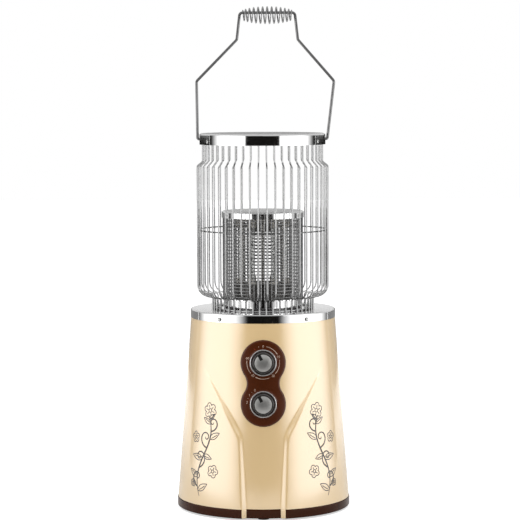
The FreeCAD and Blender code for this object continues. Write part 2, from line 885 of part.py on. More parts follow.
def make_control_panel():
    half_pitch = (panel_upper_height - panel_lower_height) / 2
    half_waist = s.panel_waist_width / 2
    lobe = s.panel_lobe_radius
    bend = (half_pitch * half_pitch + half_waist * half_waist - lobe * lobe) / ((lobe - half_waist) * 2)
    upper = ring_top + panel_upper_height
    lower = ring_top + panel_lower_height
    middle = (upper + lower) / 2
    reach = half_waist + bend
    sketch = doc.addObject("Sketcher::SketchObject", "panel_outline")
    place(sketch, axis=X_AXIS, turn=as_dim(QUARTER_TURN))
    meet = math.atan2(half_pitch.value, reach.value)

    def arc(x, y, radius, start, end):
        circle = Part.Circle(FreeCAD.Vector(x, y, 0), Z_AXIS, radius.value)
        return sketch.addGeometry(Part.ArcOfCircle(circle, start, end), False)

    top = arc(0, upper.value, lobe, -meet, math.pi + meet)
    left = arc(-reach.value, middle.value, bend, -meet, meet)
    low = arc(0, lower.value, lobe, math.pi - meet, 2 * math.pi + meet)
    right = arc(reach.value, middle.value, bend, math.pi - meet, math.pi + meet)
    for one, one_end, other, other_end in (
        (top, 2, left, 2), (left, 1, low, 1), (low, 2, right, 2), (right, 1, top, 1),
    ):
        sketch.addConstraint(Sketcher.Constraint("Tangent", one, one_end, other, other_end))
    fix_point(sketch, top, 3, ZERO, upper)
    fix_point(sketch, low, 3, ZERO, lower)
    for geometry, radius in ((top, lobe), (low, lobe), (left, bend), (right, bend)):
        index = sketch.addConstraint(Sketcher.Constraint("Radius", geometry, radius.value))
        sketch.setExpression(f"Constraints[{index}]", radius.text)
    prism = extrude_forward("panel_prism", sketch, s.shell_bottom_radius + s.panel_thickness + s.cut_overrun)
    skin = doc.addObject("Part::Cone", "panel_skin")
    bind(skin, Radius1=s.shell_bottom_radius + s.panel_thickness)
    bind(skin, Radius2=shell_top_radius + s.panel_thickness, Height=s.shell_height)
    place(skin, z=ring_top)
    plate = doc.addObject("Part::MultiCommon", "panel_plate")
    plate.Shapes = [prism, skin]
    seats = []
    for name, height in (("timer_seat", panel_upper_height), ("power_seat", panel_lower_height)):
        depth = s.case_setback
        seat = cylinder(name, s.bezel_radius, depth + s.panel_thickness)
        seats.append(place_on_front(seat, height, -depth))
    add_node(cut(
        "control_panel",
        fuse("panel_with_seats", plate, *seats),
        relief_solid("panel_back", s.seat_gap),
        bush_hole("panel_timer_hole", panel_upper_height),
        bush_hole("panel_power_hole", panel_lower_height),
    ), "control_panel")


# Knobs with what they turn


def make_bezel(label, height):
    inner = s.bezel_radius - s.bezel_width
    body = turned_body(label, [
        (inner, ZERO),
        (s.bezel_radius, ZERO),
        (s.bezel_radius, s.bezel_height),
        (inner, s.bezel_height),
    ])
    round_rims(body, s.bezel_round, [(inner, s.bezel_height), (s.bezel_radius, s.bezel_height)])
    add_node(place_on_front(body, height, s.panel_thickness), label)


def turn_pointer(obj):
    """Turns a knob piece, already in place, so that its pointer looks as photographed."""
    pointer = FreeCAD.Rotation(Z_AXIS, s.pointer_angle.value)
    tilt = FreeCAD.Rotation(X_AXIS, QUARTER_TURN - s.shell_lean.value)
    obj.setExpression("Placement.Rotation.Angle", None)
    obj.Placement = FreeCAD.Placement(obj.Placement.Base, tilt.multiply(pointer))


def make_knob(label, height):
    """A hollow knob with a blind hub, and the disc let into its top."""
    lift = s.panel_thickness + s.knob_lift
    cavity_top = s.knob_height - s.knob_roof
    hub_bottom = cavity_top - s.knob_hub_length
    bore = s.shaft_radius + s.shaft_fit
    recess = s.face_radius + s.screw_fit
    recess_floor = s.knob_height - s.face_recess
    body = turned_body(label, [
        (ZERO, cavity_top),
        (bore, cavity_top),
        (bore, hub_bottom),
        (s.knob_hub_radius, hub_bottom),
        (s.knob_hub_radius, cavity_top),
        (s.knob_cavity_radius, cavity_top),
        (s.knob_cavity_radius, ZERO),
        (s.knob_radius, ZERO),
        (s.knob_radius, s.knob_skirt_edge),
        (s.knob_top_radius, s.knob_height),
        (recess, s.knob_height),
        (recess, recess_floor),
        (ZERO, recess_floor),
    ])
    add_node(place_on_front(body, height, lift), label)
    face = turned_body(f"{label}_face", [
        (ZERO, ZERO),
        (s.face_radius, ZERO),
        (s.face_radius, s.face_thickness),
        (ZERO, s.face_thickness),
    ])
    half = s.notch_width / 2
    low = s.face_radius - s.notch_length
    high = s.face_radius + s.cut_overrun
    add_pocket(
        face,
        lambda sketch: draw_outline(sketch, [(-half, low), (half, low), (half, high), (-half, high)]),
        s.face_thickness + s.cut_overrun,
        turn_round=True,
    )
    add_node(place_on_front(face, height, lift + recess_floor), f"{label}_face")
    doc.recompute()
    turn_pointer(face)


def make_switch(label, height, width, depth):
    """A switch case with its threaded bush, the shaft in it and the nut in front."""
    nut_seat = s.case_setback + s.panel_thickness
    bush_length = nut_seat + s.nut_height + s.bush_tail
    half = width / 2
    case = new_body(f"{label}_case")
    add_pad(
        case,
        lambda sketch: draw_outline(sketch, [(-half, -half), (half, -half), (half, half), (-half, half)]),
        depth,
        down=True,
    )
    add_pad(case, lambda sketch: draw_circle(sketch, ZERO, ZERO, s.bush_radius), bush_length)
    bore = s.shaft_radius + s.shaft_fit
    add_revolution(case, [
        (ZERO, -s.case_bore_depth),
        (bore, -s.case_bore_depth),
        (bore, bush_length + s.cut_overrun),
        (ZERO, bush_length + s.cut_overrun),
    ], kind="Groove")
    add_node(place_on_front(case, height, -s.case_setback), f"{label}_case")
    shaft_bottom = s.seat_gap - s.case_bore_depth
    knob_bore_end = nut_seat + s.knob_lift + s.knob_height - s.knob_roof
    shaft = turned_body(f"{label}_shaft", [
        (ZERO, shaft_bottom),
        (s.shaft_radius, shaft_bottom),
        (s.shaft_radius, knob_bore_end),
        (ZERO, knob_bore_end),
    ])
    add_node(place_on_front(shaft, height, -s.case_setback), f"{label}_shaft")
    nut = new_body(f"{label}_nut")
    add_pad(nut, lambda sketch: draw_polygon(sketch, s.nut_flat_radius, 6), s.nut_height)
    add_pocket(
        nut,
        lambda sketch: draw_circle(sketch, ZERO, ZERO, s.bush_radius + s.screw_fit),
        s.nut_height + s.cut_overrun,
        turn_round=True,
    )
    add_node(place_on_front(nut, height, s.panel_thickness), f"{label}_nut")


# Pieces inside the base


def make_cord_gland():
    """Snap-in bush for the cord in the rear wall, with a barb behind the wall."""
    barb_front = -(s.shell_wall + s.seat_gap * 2)
    barb_back = barb_front - s.gland_flange_thickness
    body = turned_body("cord_gland", [
        (s.gland_bore_radius, -s.gland_body_length),
        (s.gland_body_radius, -s.gland_body_length),
        (s.gland_barb_radius, barb_back),
        (s.gland_barb_radius, barb_front),
        (s.gland_body_radius, barb_front),
        (s.gland_body_radius, s.weld_gap),
        (s.gland_flange_radius, s.weld_gap),
        (s.gland_flange_radius, s.gland_flange_thickness / 2),
        (s.gland_body_radius, s.gland_flange_thickness),
        (s.gland_bore_radius, s.gland_flange_thickness),
    ])
    add_node(place_on_rear(body, s.gland_height), "cord_gland")


def make_terminal_block():
    body = new_body("terminal_block")
    half_length = s.terminal_length / 2
    half_width = s.terminal_width / 2
    add_pad(
        body,
        lambda sketch: draw_outline(sketch, [
            (-half_length, -half_width),
            (half_length, -half_width),
            (half_length, half_width),
            (-half_length, half_width),
        ]),
        s.terminal_height,
    )

    def draw_holes(sketch):
        count = SIZES["terminal_hole_count"]
        for index in range(count):
            across = s.terminal_hole_pitch * (index - (count - 1) / 2)
            place_across = across if across.value else ZERO
            draw_circle(sketch, place_across, s.terminal_height / 2, s.terminal_hole_radius)

    add_pocket(body, draw_holes, half_width, plane="XZ_Plane")
    place(body, y=s.terminal_offset, z=web_bottom)
    add_node(body, "terminal_block")


def make_tilt_switch():
    """A bracket of bent sheet and the weight that hangs in it on a pin."""
    half_width = s.tilt_base_width / 2
    half_length = s.tilt_base_length / 2
    inner = half_width - s.tilt_sheet
    bracket = new_body("tilt_bracket")
    outline = [
        (-half_width, ZERO),
        (half_width, ZERO),
        (half_width, s.tilt_cheek_height),
        (inner, s.tilt_cheek_height),
        (inner, s.tilt_sheet),
        (-inner, s.tilt_sheet),
        (-inner, s.tilt_cheek_height),
        (-half_width, s.tilt_cheek_height),
    ]
    pad = add_pad(bracket, lambda sketch: draw_outline(sketch, outline), s.tilt_base_length, plane="XZ_Plane")
    pad.Midplane = True
    add_pocket(
        bracket,
        lambda sketch: draw_circle(sketch, ZERO, s.tilt_pin_height, s.tilt_pin_radius + s.shaft_fit),
        s.tilt_base_width + s.cut_overrun,
        plane="YZ_Plane",
        both_ways=True,
    )
    place(bracket, x=s.tilt_offset_side, y=s.tilt_offset_back, z=web_bottom)
    add_node(bracket, "tilt_bracket")
    bob_top = s.tilt_pin_height - s.tilt_arm_length
    bob_bottom = bob_top - s.tilt_bob_height
    weight = turned_body("tilt_weight", [
        (ZERO, bob_bottom),
        (s.tilt_bob_radius, bob_bottom),
        (s.tilt_bob_radius, bob_top),
        (s.tilt_arm_radius, bob_top),
        (s.tilt_arm_radius, s.tilt_pin_height + s.tilt_arm_radius),
        (ZERO, s.tilt_pin_height + s.tilt_arm_radius),
    ])
    pin = add_pad(
        weight,
        lambda sketch: draw_circle(sketch, ZERO, s.tilt_pin_height, s.tilt_pin_radius),
        s.tilt_base_width,
        plane="YZ_Plane",
    )
    pin.Midplane = True
    place(weight, x=s.tilt_offset_side, y=s.tilt_offset_back, z=web_bottom)
    add_node(weight, "tilt_weight")


def make_lead_wires():
    """Leads from the terminals to both switches, and from the power switch to the head."""
    lean = math.radians(s.shell_lean.value)

    def case_back(height, depth):
        back = s.case_setback.value + depth.value + s.lead_end_gap.value
        y, z = knob_seat_point(height)
        return y.value + back * math.cos(lean), z.value - back * math.sin(lean)

    radius = s.lead_radius.value
    bend = [s.lead_bend.value]
    spread = s.lead_spread.value
    terminal_top = web_bottom.value + s.terminal_height.value
    leads = []
    for across, height, depth in (
        (-spread, panel_upper_height, s.timer_case_depth),
        (spread, panel_lower_height, s.power_case_depth),
    ):
        back_y, back_z = case_back(height, depth)
        leads.append(swept_tube(bent_path([
            FreeCAD.Vector(across, s.terminal_offset.value, terminal_top),
            FreeCAD.Vector(across, s.terminal_offset.value, back_z),
            FreeCAD.Vector(across, back_y, back_z),
        ], bend), radius))
    back_y, back_z = case_back(panel_lower_height, s.power_case_depth)
    roof_under = pedestal_top.value + s.lower_holder_height.value - s.lower_holder_roof.value
    leads.append(swept_tube(bent_path([
        FreeCAD.Vector(0, back_y, back_z),
        FreeCAD.Vector(0, lead_hole_offset.value, back_z),
        FreeCAD.Vector(0, lead_hole_offset.value, roof_under),
    ], bend), radius))
    shape_node("lead_wires", Part.makeCompound(leads))


# Top plate and what hangs under it


def draw_lead_hole(sketch):
    draw_circle(sketch, ZERO, lead_hole_offset, s.lead_hole_radius)


def make_top_plate():
    body = turned_body("top_plate", [
        (ZERO, deck_under),
        (collar_inner_radius, deck_under),
        (collar_inner_radius, shell_top),
        (collar_radius, shell_top),
        (collar_radius, deck),
        (ZERO, deck),
    ])
    round_rims(body, s.collar_edge_round, [(collar_radius, deck)])
    holes = add_pocket(
        body,
        lambda sketch: draw_circle(
            sketch, ZERO, shell_top + s.collar_screw_rise, s.collar_screw_radius + s.screw_fit
        ),
        collar_radius + s.cut_overrun,
        plane="XZ_Plane",
    )
    add_polar_pattern(body, holes, s.collar_screw_count)
    add_pocket(body, draw_lead_hole, deck + s.cut_overrun, turn_round=True)
    clip_holes = add_pocket(
        body,
        lambda sketch: draw_circle(sketch, clip_screw_distance(), ZERO, s.clip_screw_radius + s.screw_fit),
        deck + s.cut_overrun,
        turn_round=True,
    )
    add_polar_pattern(body, clip_holes, as_dim(2))
    add_node(body, "top_plate")
    screws = radial_fasteners(
        "collar_screws",
        headed_pin(
            collar_radius - s.collar_screw_length,
            collar_radius,
            s.collar_screw_radius,
            s.collar_screw_head_radius,
            s.collar_screw_head_height,
        ),
        shell_top + s.collar_screw_rise,
        s.collar_screw_count,
    )
    add_node(screws, "collar_screws")


def make_heat_shield():
    rim_radius = shield_radius + s.shield_rim
    inner = shield_radius - s.shield_sheet
    floor = deck_under - s.shield_depth
    rim_under = deck_under - s.shield_sheet
    body = turned_body("heat_shield", [
        (ZERO, floor),
        (shield_radius, floor),
        (shield_radius, rim_under),
        (rim_radius, rim_under),
        (rim_radius, deck_under),
        (inner, deck_under),
        (inner, floor + s.shield_sheet),
        (ZERO, floor + s.shield_sheet),
    ])
    add_pocket(body, draw_lead_hole, deck, turn_round=True)
    add_node(body, "heat_shield")


# Heating head

upper_holder_top = guard_cap_bottom - s.upper_holder_drop
upper_holder_bottom = upper_holder_top - s.upper_holder_thickness
hub_bottom = upper_holder_bottom - s.hub_height
lower_holder_top = pedestal_top + s.lower_holder_height
rod_bore = s.rod_radius + s.seat_gap
tip_bore = s.rod_tip_radius + s.seat_gap


def make_pedestal():
    wall_inner = pedestal_radius - s.pedestal_wall
    flange_under = pedestal_top - s.pedestal_wall
    body = turned_body("guard_pedestal", [
        (wall_inner, deck),
        (pedestal_radius, deck),
        (pedestal_radius, flange_under),
        (pedestal_flange_radius, flange_under),
        (pedestal_flange_radius, pedestal_top),
        (pedestal_hole_radius, pedestal_top),
        (pedestal_hole_radius, flange_under),
        (wall_inner, flange_under),
    ])
    add_node(body, "guard_pedestal")


def make_holders():
    roof_under = lower_holder_top - s.lower_holder_roof
    wall_inner = holder_radius - s.lower_holder_wall
    lower = turned_body("lower_holder", [
        (wall_inner, pedestal_top),
        (holder_radius, pedestal_top),
        (holder_radius, lower_holder_top),
        (rod_bore, lower_holder_top),
        (rod_bore, roof_under),
        (wall_inner, roof_under),
    ])
    add_node(lower, "lower_holder")
    rod_top = upper_holder_top + s.rod_tip_length
    rod = turned_body("centre_rod", [
        (ZERO, deck),
        (s.rod_radius, deck),
        (s.rod_radius, hub_bottom),
        (s.rod_tip_radius, hub_bottom),
        (s.rod_tip_radius, rod_top),
        (ZERO, rod_top),
    ])
    add_node(rod, "centre_rod")
    hub = turned_body("hub", [
        (tip_bore, hub_bottom),
        (hub_radius, hub_bottom),
        (hub_radius, upper_holder_bottom),
        (tip_bore, upper_holder_bottom),
    ])
    add_node(hub, "hub")
    upper = turned_body("upper_holder", [
        (tip_bore, upper_holder_bottom),
        (holder_radius, upper_holder_bottom),
        (holder_radius, upper_holder_top),
        (tip_bore, upper_holder_top),
    ])
    add_node(upper, "upper_holder")


def make_tubes():
    """Six quartz tubes between cup-shaped end caps, with a heating core in each."""
    tube_bottom = lower_holder_top + s.tube_cap_floor
    tube_top = upper_holder_bottom - s.tube_cap_floor
    tube_inner = s.tube_radius - s.tube_wall
    caps = []
    cores = []
    for index in range(SIZES["tube_count"]):
        angle = as_dim(FULL_TURN) / s.tube_count * (index + 0.5)
        x = tube_circle_radius * sine(angle)
        y = -tube_circle_radius * cosine(angle)
        tube = turned_body(f"quartz_tube_{index + 1}", [
            (tube_inner, tube_bottom),
            (s.tube_radius, tube_bottom),
            (s.tube_radius, tube_top),
            (tube_inner, tube_top),
        ])
        add_node(place(tube, x=x, y=y), f"quartz_tube_{index + 1}")
        core = cylinder(f"core_{index + 1}", s.core_radius, tube_top - tube_bottom)
        cores.append(place(core, x=x, y=y, z=tube_bottom))
        for end, seat, way in (("low", lower_holder_top, 1), ("high", upper_holder_bottom, -1)):
            cap = turned_body(f"tube_cap_{end}_{index + 1}", [
                (ZERO, seat),
                (s.tube_cap_radius, seat),
                (s.tube_cap_radius, seat + s.tube_cap_height * way),
                (s.tube_radius + s.seat_gap, seat + s.tube_cap_height * way),
                (s.tube_radius + s.seat_gap, seat + s.tube_cap_floor * way),
                (ZERO, seat + s.tube_cap_floor * way),
            ])
            caps.append(place(cap, x=x, y=y))
    for label, members in (("tube_caps", caps), ("heater_cores", cores)):
        group = doc.addObject("Part::Compound", label)
        group.Links = members
        add_node(group, label)


# Fine mesh guard


def make_guard():
    wire = s.guard_wire_radius.value
    top = (guard_cap_top - s.guard_cap_round).value
    bottom = pedestal_top.value
    count = SIZES["guard_wire_count"]
    step = FULL_TURN / count
    upright = Part.makeCylinder(wire, top - bottom, FreeCAD.Vector(0, -guard_radius.value, bottom))
    shape_node("guard_wires", turned_copies(upright, count, step / 2))
    hoop_count = SIZES["guard_hoop_count"]
    hoop_radius = guard_radius.value - 2 * wire - s.weld_gap.value
    pitch = s.guard_height.value / hoop_count
    hoops = [
        square_hoop(hoop_radius, wire, bottom + pitch * (index + 0.5))
        for index in range(hoop_count)
    ]
    shape_node("guard_hoops", Part.makeCompound(hoops))
    band_top = guard_cap_top - s.guard_cap_round
    band = turned_body("guard_band", [
        (guard_band_inner_radius, guard_cap_bottom),
        (guard_band_outer_radius, guard_cap_bottom),
        (guard_band_outer_radius, band_top),
        (guard_band_inner_radius, band_top),
    ])
    rivet_height = (guard_cap_bottom + band_top) / 2

    def draw_rivet_hole(sketch):
        draw_circle(sketch, ZERO, rivet_height, s.guard_rivet_radius + s.screw_fit)

    reach = guard_cap_radius + s.cut_overrun
    hole = add_pocket(band, draw_rivet_hole, reach, plane="XZ_Plane")
    add_polar_pattern(band, hole, s.guard_rivet_count)
    add_node(band, "guard_band")
    cap = lid_body("guard_cap", guard_cap_radius, s.guard_cap_sheet, s.guard_cap_round,
                   guard_cap_bottom, guard_cap_top)
    hole = add_pocket(cap, draw_rivet_hole, reach, plane="XZ_Plane")
    add_polar_pattern(cap, hole, s.guard_rivet_count)
    add_node(cap, "guard_cap")
    rivets = radial_fasteners(
        "guard_rivets",
        headed_pin(
            guard_band_inner_radius,
            guard_cap_radius,
            s.guard_rivet_radius,
            s.guard_rivet_head_radius,
            s.guard_rivet_head_height,
        ),
        rivet_height,
        s.guard_rivet_count,
    )
    add_node(rivets, "guard_rivets")


def lid_body(name, radius, sheet, rounding, bottom, top):
    """A round lid of thin sheet with a rounded upper edge and a skirt."""
    inner = radius - sheet
    under = top - sheet
    body = turned_body(name, [
        (ZERO, under),
        (inner, under),
        (inner, bottom),
        (radius, bottom),
        (radius, top),
        (ZERO, top),
    ])
    round_rims(body, rounding, [(radius, top)])
    round_rims(body, rounding - sheet, [(inner, under)])
    return body


# Outer cage


def make_cage():
    wire = s.cage_wire_radius.value
    top = (cap_top - s.cap_round).value
    count = SIZES["cage_wire_count"]
    profile = [
        (cage_neck_radius, top),
        (cage_neck_radius, cage_neck.value),
        (s.cage_side_radius, cage_shoulder.value),
        (s.cage_side_radius, cage_bend_height.value),
        (cage_foot_radius, cage_bend_height.value),
        (cage_foot_radius, deck.value),
    ]
    points = [FreeCAD.Vector(0, -radius.value, height) for radius, height in profile]
    jog = s.cage_jog_bend.value
    bends = [jog, jog, s.cage_side_bend.value, s.cage_foot_bend.value]
    one_wire = swept_tube(bent_path(points, bends), wire)
    shape_node("cage_wires", turned_copies(one_wire, count, FULL_TURN / count / 2))
    hoop = doc.addObject("Part::Torus", "cage_hoop")
    bind(hoop, Radius1=s.cage_side_radius - s.cage_wire_radius - s.cage_hoop_radius - s.weld_gap)
    bind(hoop, Radius2=s.cage_hoop_radius)
    add_node(place(hoop, z=deck + s.cage_hoop_height), "cage_hoop")
    foot_ring = doc.addObject("Part::Torus", "cage_foot_ring")
    bind(foot_ring, Radius1=foot_ring_radius(), Radius2=s.cage_foot_ring_radius)
    add_node(place(foot_ring, z=deck + s.weld_gap + s.cage_foot_ring_radius), "cage_foot_ring")
    band_top = cap_top - s.cap_round
    band = turned_body("cage_band", [
        (cage_band_inner_radius, cap_bottom),
        (cage_band_outer_radius, cap_bottom),
        (cage_band_outer_radius, band_top),
        (cage_band_inner_radius, band_top),
    ])
    drill_cap_holes(band)
    add_node(band, "cage_band")


def foot_ring_radius():
    """Radius of the ring inside the feet of the cage wires."""
    return cage_foot_radius - s.cage_wire_radius - s.cage_foot_ring_radius - s.weld_gap


def clip_screw_distance():
    """Distance of a clip screw from the middle."""
    outer = foot_ring_radius() + s.cage_foot_ring_radius
    return outer - s.clip_length + s.clip_overlap + s.clip_screw_radius / 2


def make_cage_clips():
    """Two cranked clips that hold the foot ring down, each with its screw."""
    ring_under = foot_ring_radius() - s.cage_foot_ring_radius
    outer = foot_ring_radius() + s.cage_foot_ring_radius
    inner = outer - s.clip_length
    crank = ring_under - s.seat_gap
    strap_under = deck + s.cage_foot_ring_radius * 2 + s.seat_gap
    strap_top = strap_under + s.clip_sheet
    outline = [
        (inner, deck),
        (crank, deck),
        (crank, strap_under),
        (outer, strap_under),
        (outer, strap_top),
        (crank - s.clip_sheet, strap_top),
        (crank - s.clip_sheet, deck + s.clip_sheet),
        (inner, deck + s.clip_sheet),
    ]
    clips = new_body("cage_clips")
    pad = add_pad(clips, lambda sketch: draw_outline(sketch, outline), s.clip_width, plane="XZ_Plane")
    pad.Midplane = True
    doc.recompute()
    add_polar_pattern(clips, pad, as_dim(2))
    distance = clip_screw_distance()

    def draw_screw_holes(sketch):
        for side in (distance, -distance):
            draw_circle(sketch, side, ZERO, s.clip_screw_radius + s.screw_fit)

    add_pocket(clips, draw_screw_holes, deck + s.collar_height, turn_round=True)
    add_node(clips, "cage_clips")
    seat = deck + s.clip_sheet
    screw_bottom = seat - s.clip_screw_length
    screw_top = seat + s.clip_screw_head_height
    screws = []
    for index, side in enumerate((distance, -distance)):
        screw = turned_body(f"clip_screw_{index + 1}", [
            (ZERO, screw_bottom),
            (s.clip_screw_radius, screw_bottom),
            (s.clip_screw_radius, seat),
            (s.clip_screw_head_radius, seat),
            (s.clip_screw_head_radius, seat + s.clip_screw_head_height / 2),
            (s.clip_screw_head_radius / 2, screw_top),
            (ZERO, screw_top),
        ])
        screws.append(place(screw, x=side))
    group = doc.addObject("Part::Compound", "clip_screws")
    group.Links = screws
    add_node(group, "clip_screws")


# Cage lid, bail and grip


def drill_cap_holes(body):
    """Bores for the bail's pins and the rivets, alike in lid and band."""
    add_pocket(
        body,
        lambda sketch: draw_circle(sketch, ZERO, pivot_height, s.bail_wire_radius + s.shaft_fit),
        (cap_radius + s.cut_overrun) * 2,
        plane="YZ_Plane",
        both_ways=True,
    )
    rivet_hole = add_pocket(
        body,
        lambda sketch: draw_circle(sketch, ZERO, cap_rivet_height(), s.cap_rivet_radius + s.screw_fit),
        cap_radius + s.cut_overrun,
        plane="XZ_Plane",
    )
    add_polar_pattern(body, rivet_hole, s.cap_rivet_count)


def cap_rivet_height():
    """Height of the rivets, in the lower half of the lid's skirt."""
    return cap_bottom + s.cap_rivet_rise


def make_cage_cap():
    cap = lid_body("cage_cap", cap_radius, s.cap_sheet, s.cap_round, cap_bottom, cap_top)
    drill_cap_holes(cap)
    add_node(cap, "cage_cap")
    rivets = radial_fasteners(
        "cap_rivets",
        headed_pin(
            cage_band_inner_radius,
            cap_radius,
            s.cap_rivet_radius,
            s.cap_rivet_head_radius,
            s.cap_rivet_head_height,
        ),
        cap_rivet_height(),
        s.cap_rivet_count,
    )
    add_node(rivets, "cap_rivets")


shoulder_height = pivot_height + s.bail_shoulder_rise
bail_neck_height = shoulder_height + s.bail_neck_rise
crown_height = bail_neck_height + s.bail_crown_rise


def make_handle():
    """The bail: one bent wire whose inturned ends are upset behind the band."""
    wire = s.bail_wire_radius.value
    leg = cap_radius.value + s.bail_gap.value + wire
    pin_end = cage_band_inner_radius.value - s.bail_head_gap.value
    pivot = pivot_height.value
    half = [
        (leg, pivot, 0),
        (s.bail_shoulder_half_width.value, shoulder_height.value, s.bail_shoulder_lean.value),
        (s.bail_neck_half_width.value, bail_neck_height.value, s.bail_crown_lean.value),
        (s.bail_crown_half_width.value, crown_height.value, s.bail_crown_lean.value),
    ]
    left = [FreeCAD.Vector(lean - x, 0, z) for x, z, lean in half]
    right = [FreeCAD.Vector(lean + x, 0, z) for x, z, lean in reversed(half)]
    ends = [FreeCAD.Vector(-pin_end, 0, pivot), FreeCAD.Vector(pin_end, 0, pivot)]
    bend = s.bail_bend.value
    half_bends = [s.bail_pin_bend.value, bend, bend, s.bail_crown_bend.value]
    path = bent_path([ends[0]] + left + right + [ends[1]], half_bends + half_bends[::-1])
    bail = swept_tube(path, wire)
    length = s.bail_head_length.value
    for end, way in zip(ends, (X_AXIS, -X_AXIS)):
        bail = bail.fuse(Part.makeCylinder(s.bail_head_radius.value, length, end, way))
    shape_node("handle", bail.removeSplitter())


def biarc(start, start_way, end, end_way):
    """Two arcs that join two points with given headings, tangent where they meet."""
    chord = end - start
    spread = 1 - start_way.dot(end_way)
    along = chord.dot(start_way + end_way)
    reach = (math.sqrt(along * along + 2 * spread * chord.dot(chord)) - along) / (2 * spread)
    middle = (start + end + (start_way - end_way) * reach) * 0.5
    return [tangent_arc(start, start_way, middle), tangent_arc(end, -end_way, middle)]


def tangent_arc(start, way, end):
    """Arc from start, heading along way, to end."""
    chord = end - start
    along = FreeCAD.Vector(chord).normalize()
    side = way - along * way.dot(along)
    half_turn = way.getAngle(chord)
    rise = chord.Length / 2 * math.tan(half_turn / 2)
    crest = start + chord * 0.5 + side.normalize() * rise
    return Part.Arc(start, crest, end).toShape()


def make_grip_spring():
    """A barrel-shaped coil whose turns crowd together towards both ends.

    With u from -1/2 to 1/2 along the coil, the place along the bar is
    span * ((1 + c) * u - 16 * c * u**5), and the radius falls with the square of u.
    """
    turns = SIZES["grip_turns"]
    span = s.grip_span.value
    crowding = s.grip_crowding_share.value
    wire = s.grip_wire_radius.value
    fall = s.grip_middle_radius.value - s.grip_end_radius.value
    hang = s.grip_end_radius.value - wire - s.bail_wire_radius.value - s.grip_hang_gap.value
    axis_height = crown_height.value - hang

    def radius(u):
        return s.grip_middle_radius.value - fall * (2 * u) ** 2

    def point(u):
        angle = 2 * math.pi * turns * u
        along = s.bail_crown_lean.value + span * ((1 + crowding) * u - 16 * crowding * u ** 5)
        return FreeCAD.Vector(along, radius(u) * math.sin(angle), axis_height + radius(u) * math.cos(angle))

    def heading(u):
        angle = 2 * math.pi * turns * u
        rate = 2 * math.pi * turns
        slope = -8 * fall * u
        return FreeCAD.Vector(
            span * (1 + crowding - 80 * crowding * u ** 4),
            slope * math.sin(angle) + radius(u) * rate * math.cos(angle),
            slope * math.cos(angle) - radius(u) * rate * math.sin(angle),
        ).normalize()

    steps = 4 * turns
    places = [index / steps - 0.5 for index in range(steps + 1)]
    edges = []
    for here, there in zip(places, places[1:]):
        first, second = biarc(point(here), heading(here), point(there), heading(there))
        edges.append(first)
        edges.append(second)
    path = Part.Wire(Part.__sortEdges__(edges))
    coil = swept_tube(path, wire)
    per_turn = 60
    samples = [point(index / (per_turn * turns) - 0.5) for index in range(per_turn * turns + 1)]
    least = min(
        (one - other).Length
        for index, one in enumerate(samples)
        for other in samples[index + per_turn // 2:]
    )
    print(f"grip_spring: least gap between turns {least - 2 * wire:.2f} mm")
    shape_node("grip_spring", coil)


def main():
    make_base_ring()
    make_bottom_plate()
    make_feet()
    make_foot_screws()
    make_body_shell()
    make_control_panel()
    for label, height, width, depth in (
        ("timer", panel_upper_height, s.timer_case_width, s.timer_case_depth),
        ("power", panel_lower_height, s.power_case_width, s.power_case_depth),
    ):
        make_bezel(f"{label}_bezel", height)
        make_knob(f"{label}_knob", height)
        make_switch(label, height, width, depth)
    make_cord_gland()
    make_terminal_block()
    make_tilt_switch()
    make_lead_wires()
    make_top_plate()
    make_heat_shield()
    make_pedestal()
    make_holders()
    make_tubes()
    make_guard()
    make_cage()
    make_cage_clips()
    make_cage_cap()
    make_handle()
    make_grip_spring()
    doc.recompute()
    write_parts()


def write_parts():
    """Checks every object and every sub-part, then writes one file for each sub-part."""
    for obj in doc.Objects:
        if "Invalid" in obj.State or "Error" in obj.State:
            raise RuntimeError(f"{obj.Name} ({obj.Label}) failed: {obj.State}")
    for label, obj in NODES.items():
        if obj.Shape.isNull() or not obj.Shape.isValid() or not obj.Shape.Solids:
            raise RuntimeError(f"{label} has no valid solid")
    os.makedirs("parts", exist_ok=True)
    for label, obj in NODES.items():
        obj.Shape.exportStep(f"parts/{label}.step")
        print(f"{label}: {len(obj.Shape.Solids)} solids, {obj.Shape.Volume:.0f} cubic millimetres")


main()
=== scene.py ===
import json
import logging
import math
from dataclasses import dataclass, replace
from enum import Enum
from functools import partial
from typing import Callable, Sequence

import bmesh
import bpy
import numpy as np
from mathutils import Euler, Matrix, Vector


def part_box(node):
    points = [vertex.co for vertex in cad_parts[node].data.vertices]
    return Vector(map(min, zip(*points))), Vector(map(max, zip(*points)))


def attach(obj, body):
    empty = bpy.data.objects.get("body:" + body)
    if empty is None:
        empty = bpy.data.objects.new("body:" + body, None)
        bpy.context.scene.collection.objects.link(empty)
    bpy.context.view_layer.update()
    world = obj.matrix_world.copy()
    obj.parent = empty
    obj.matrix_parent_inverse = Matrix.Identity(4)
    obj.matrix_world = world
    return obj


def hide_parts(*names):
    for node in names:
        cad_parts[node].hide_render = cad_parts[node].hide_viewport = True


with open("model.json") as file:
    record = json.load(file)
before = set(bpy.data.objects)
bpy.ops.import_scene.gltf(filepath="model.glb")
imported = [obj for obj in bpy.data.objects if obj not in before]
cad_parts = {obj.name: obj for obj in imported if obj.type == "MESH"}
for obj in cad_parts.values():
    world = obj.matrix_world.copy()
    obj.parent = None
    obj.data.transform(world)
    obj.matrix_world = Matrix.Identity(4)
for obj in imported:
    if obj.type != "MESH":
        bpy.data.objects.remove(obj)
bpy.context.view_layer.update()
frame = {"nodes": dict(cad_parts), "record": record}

# A free-standing radiant heater: lacquered cone, bright cage and carrying bail.
# Sizes in the classes are millimetres in the frame's axes: +Z up, the controls look along -Y.

log = logging.getLogger("heater")

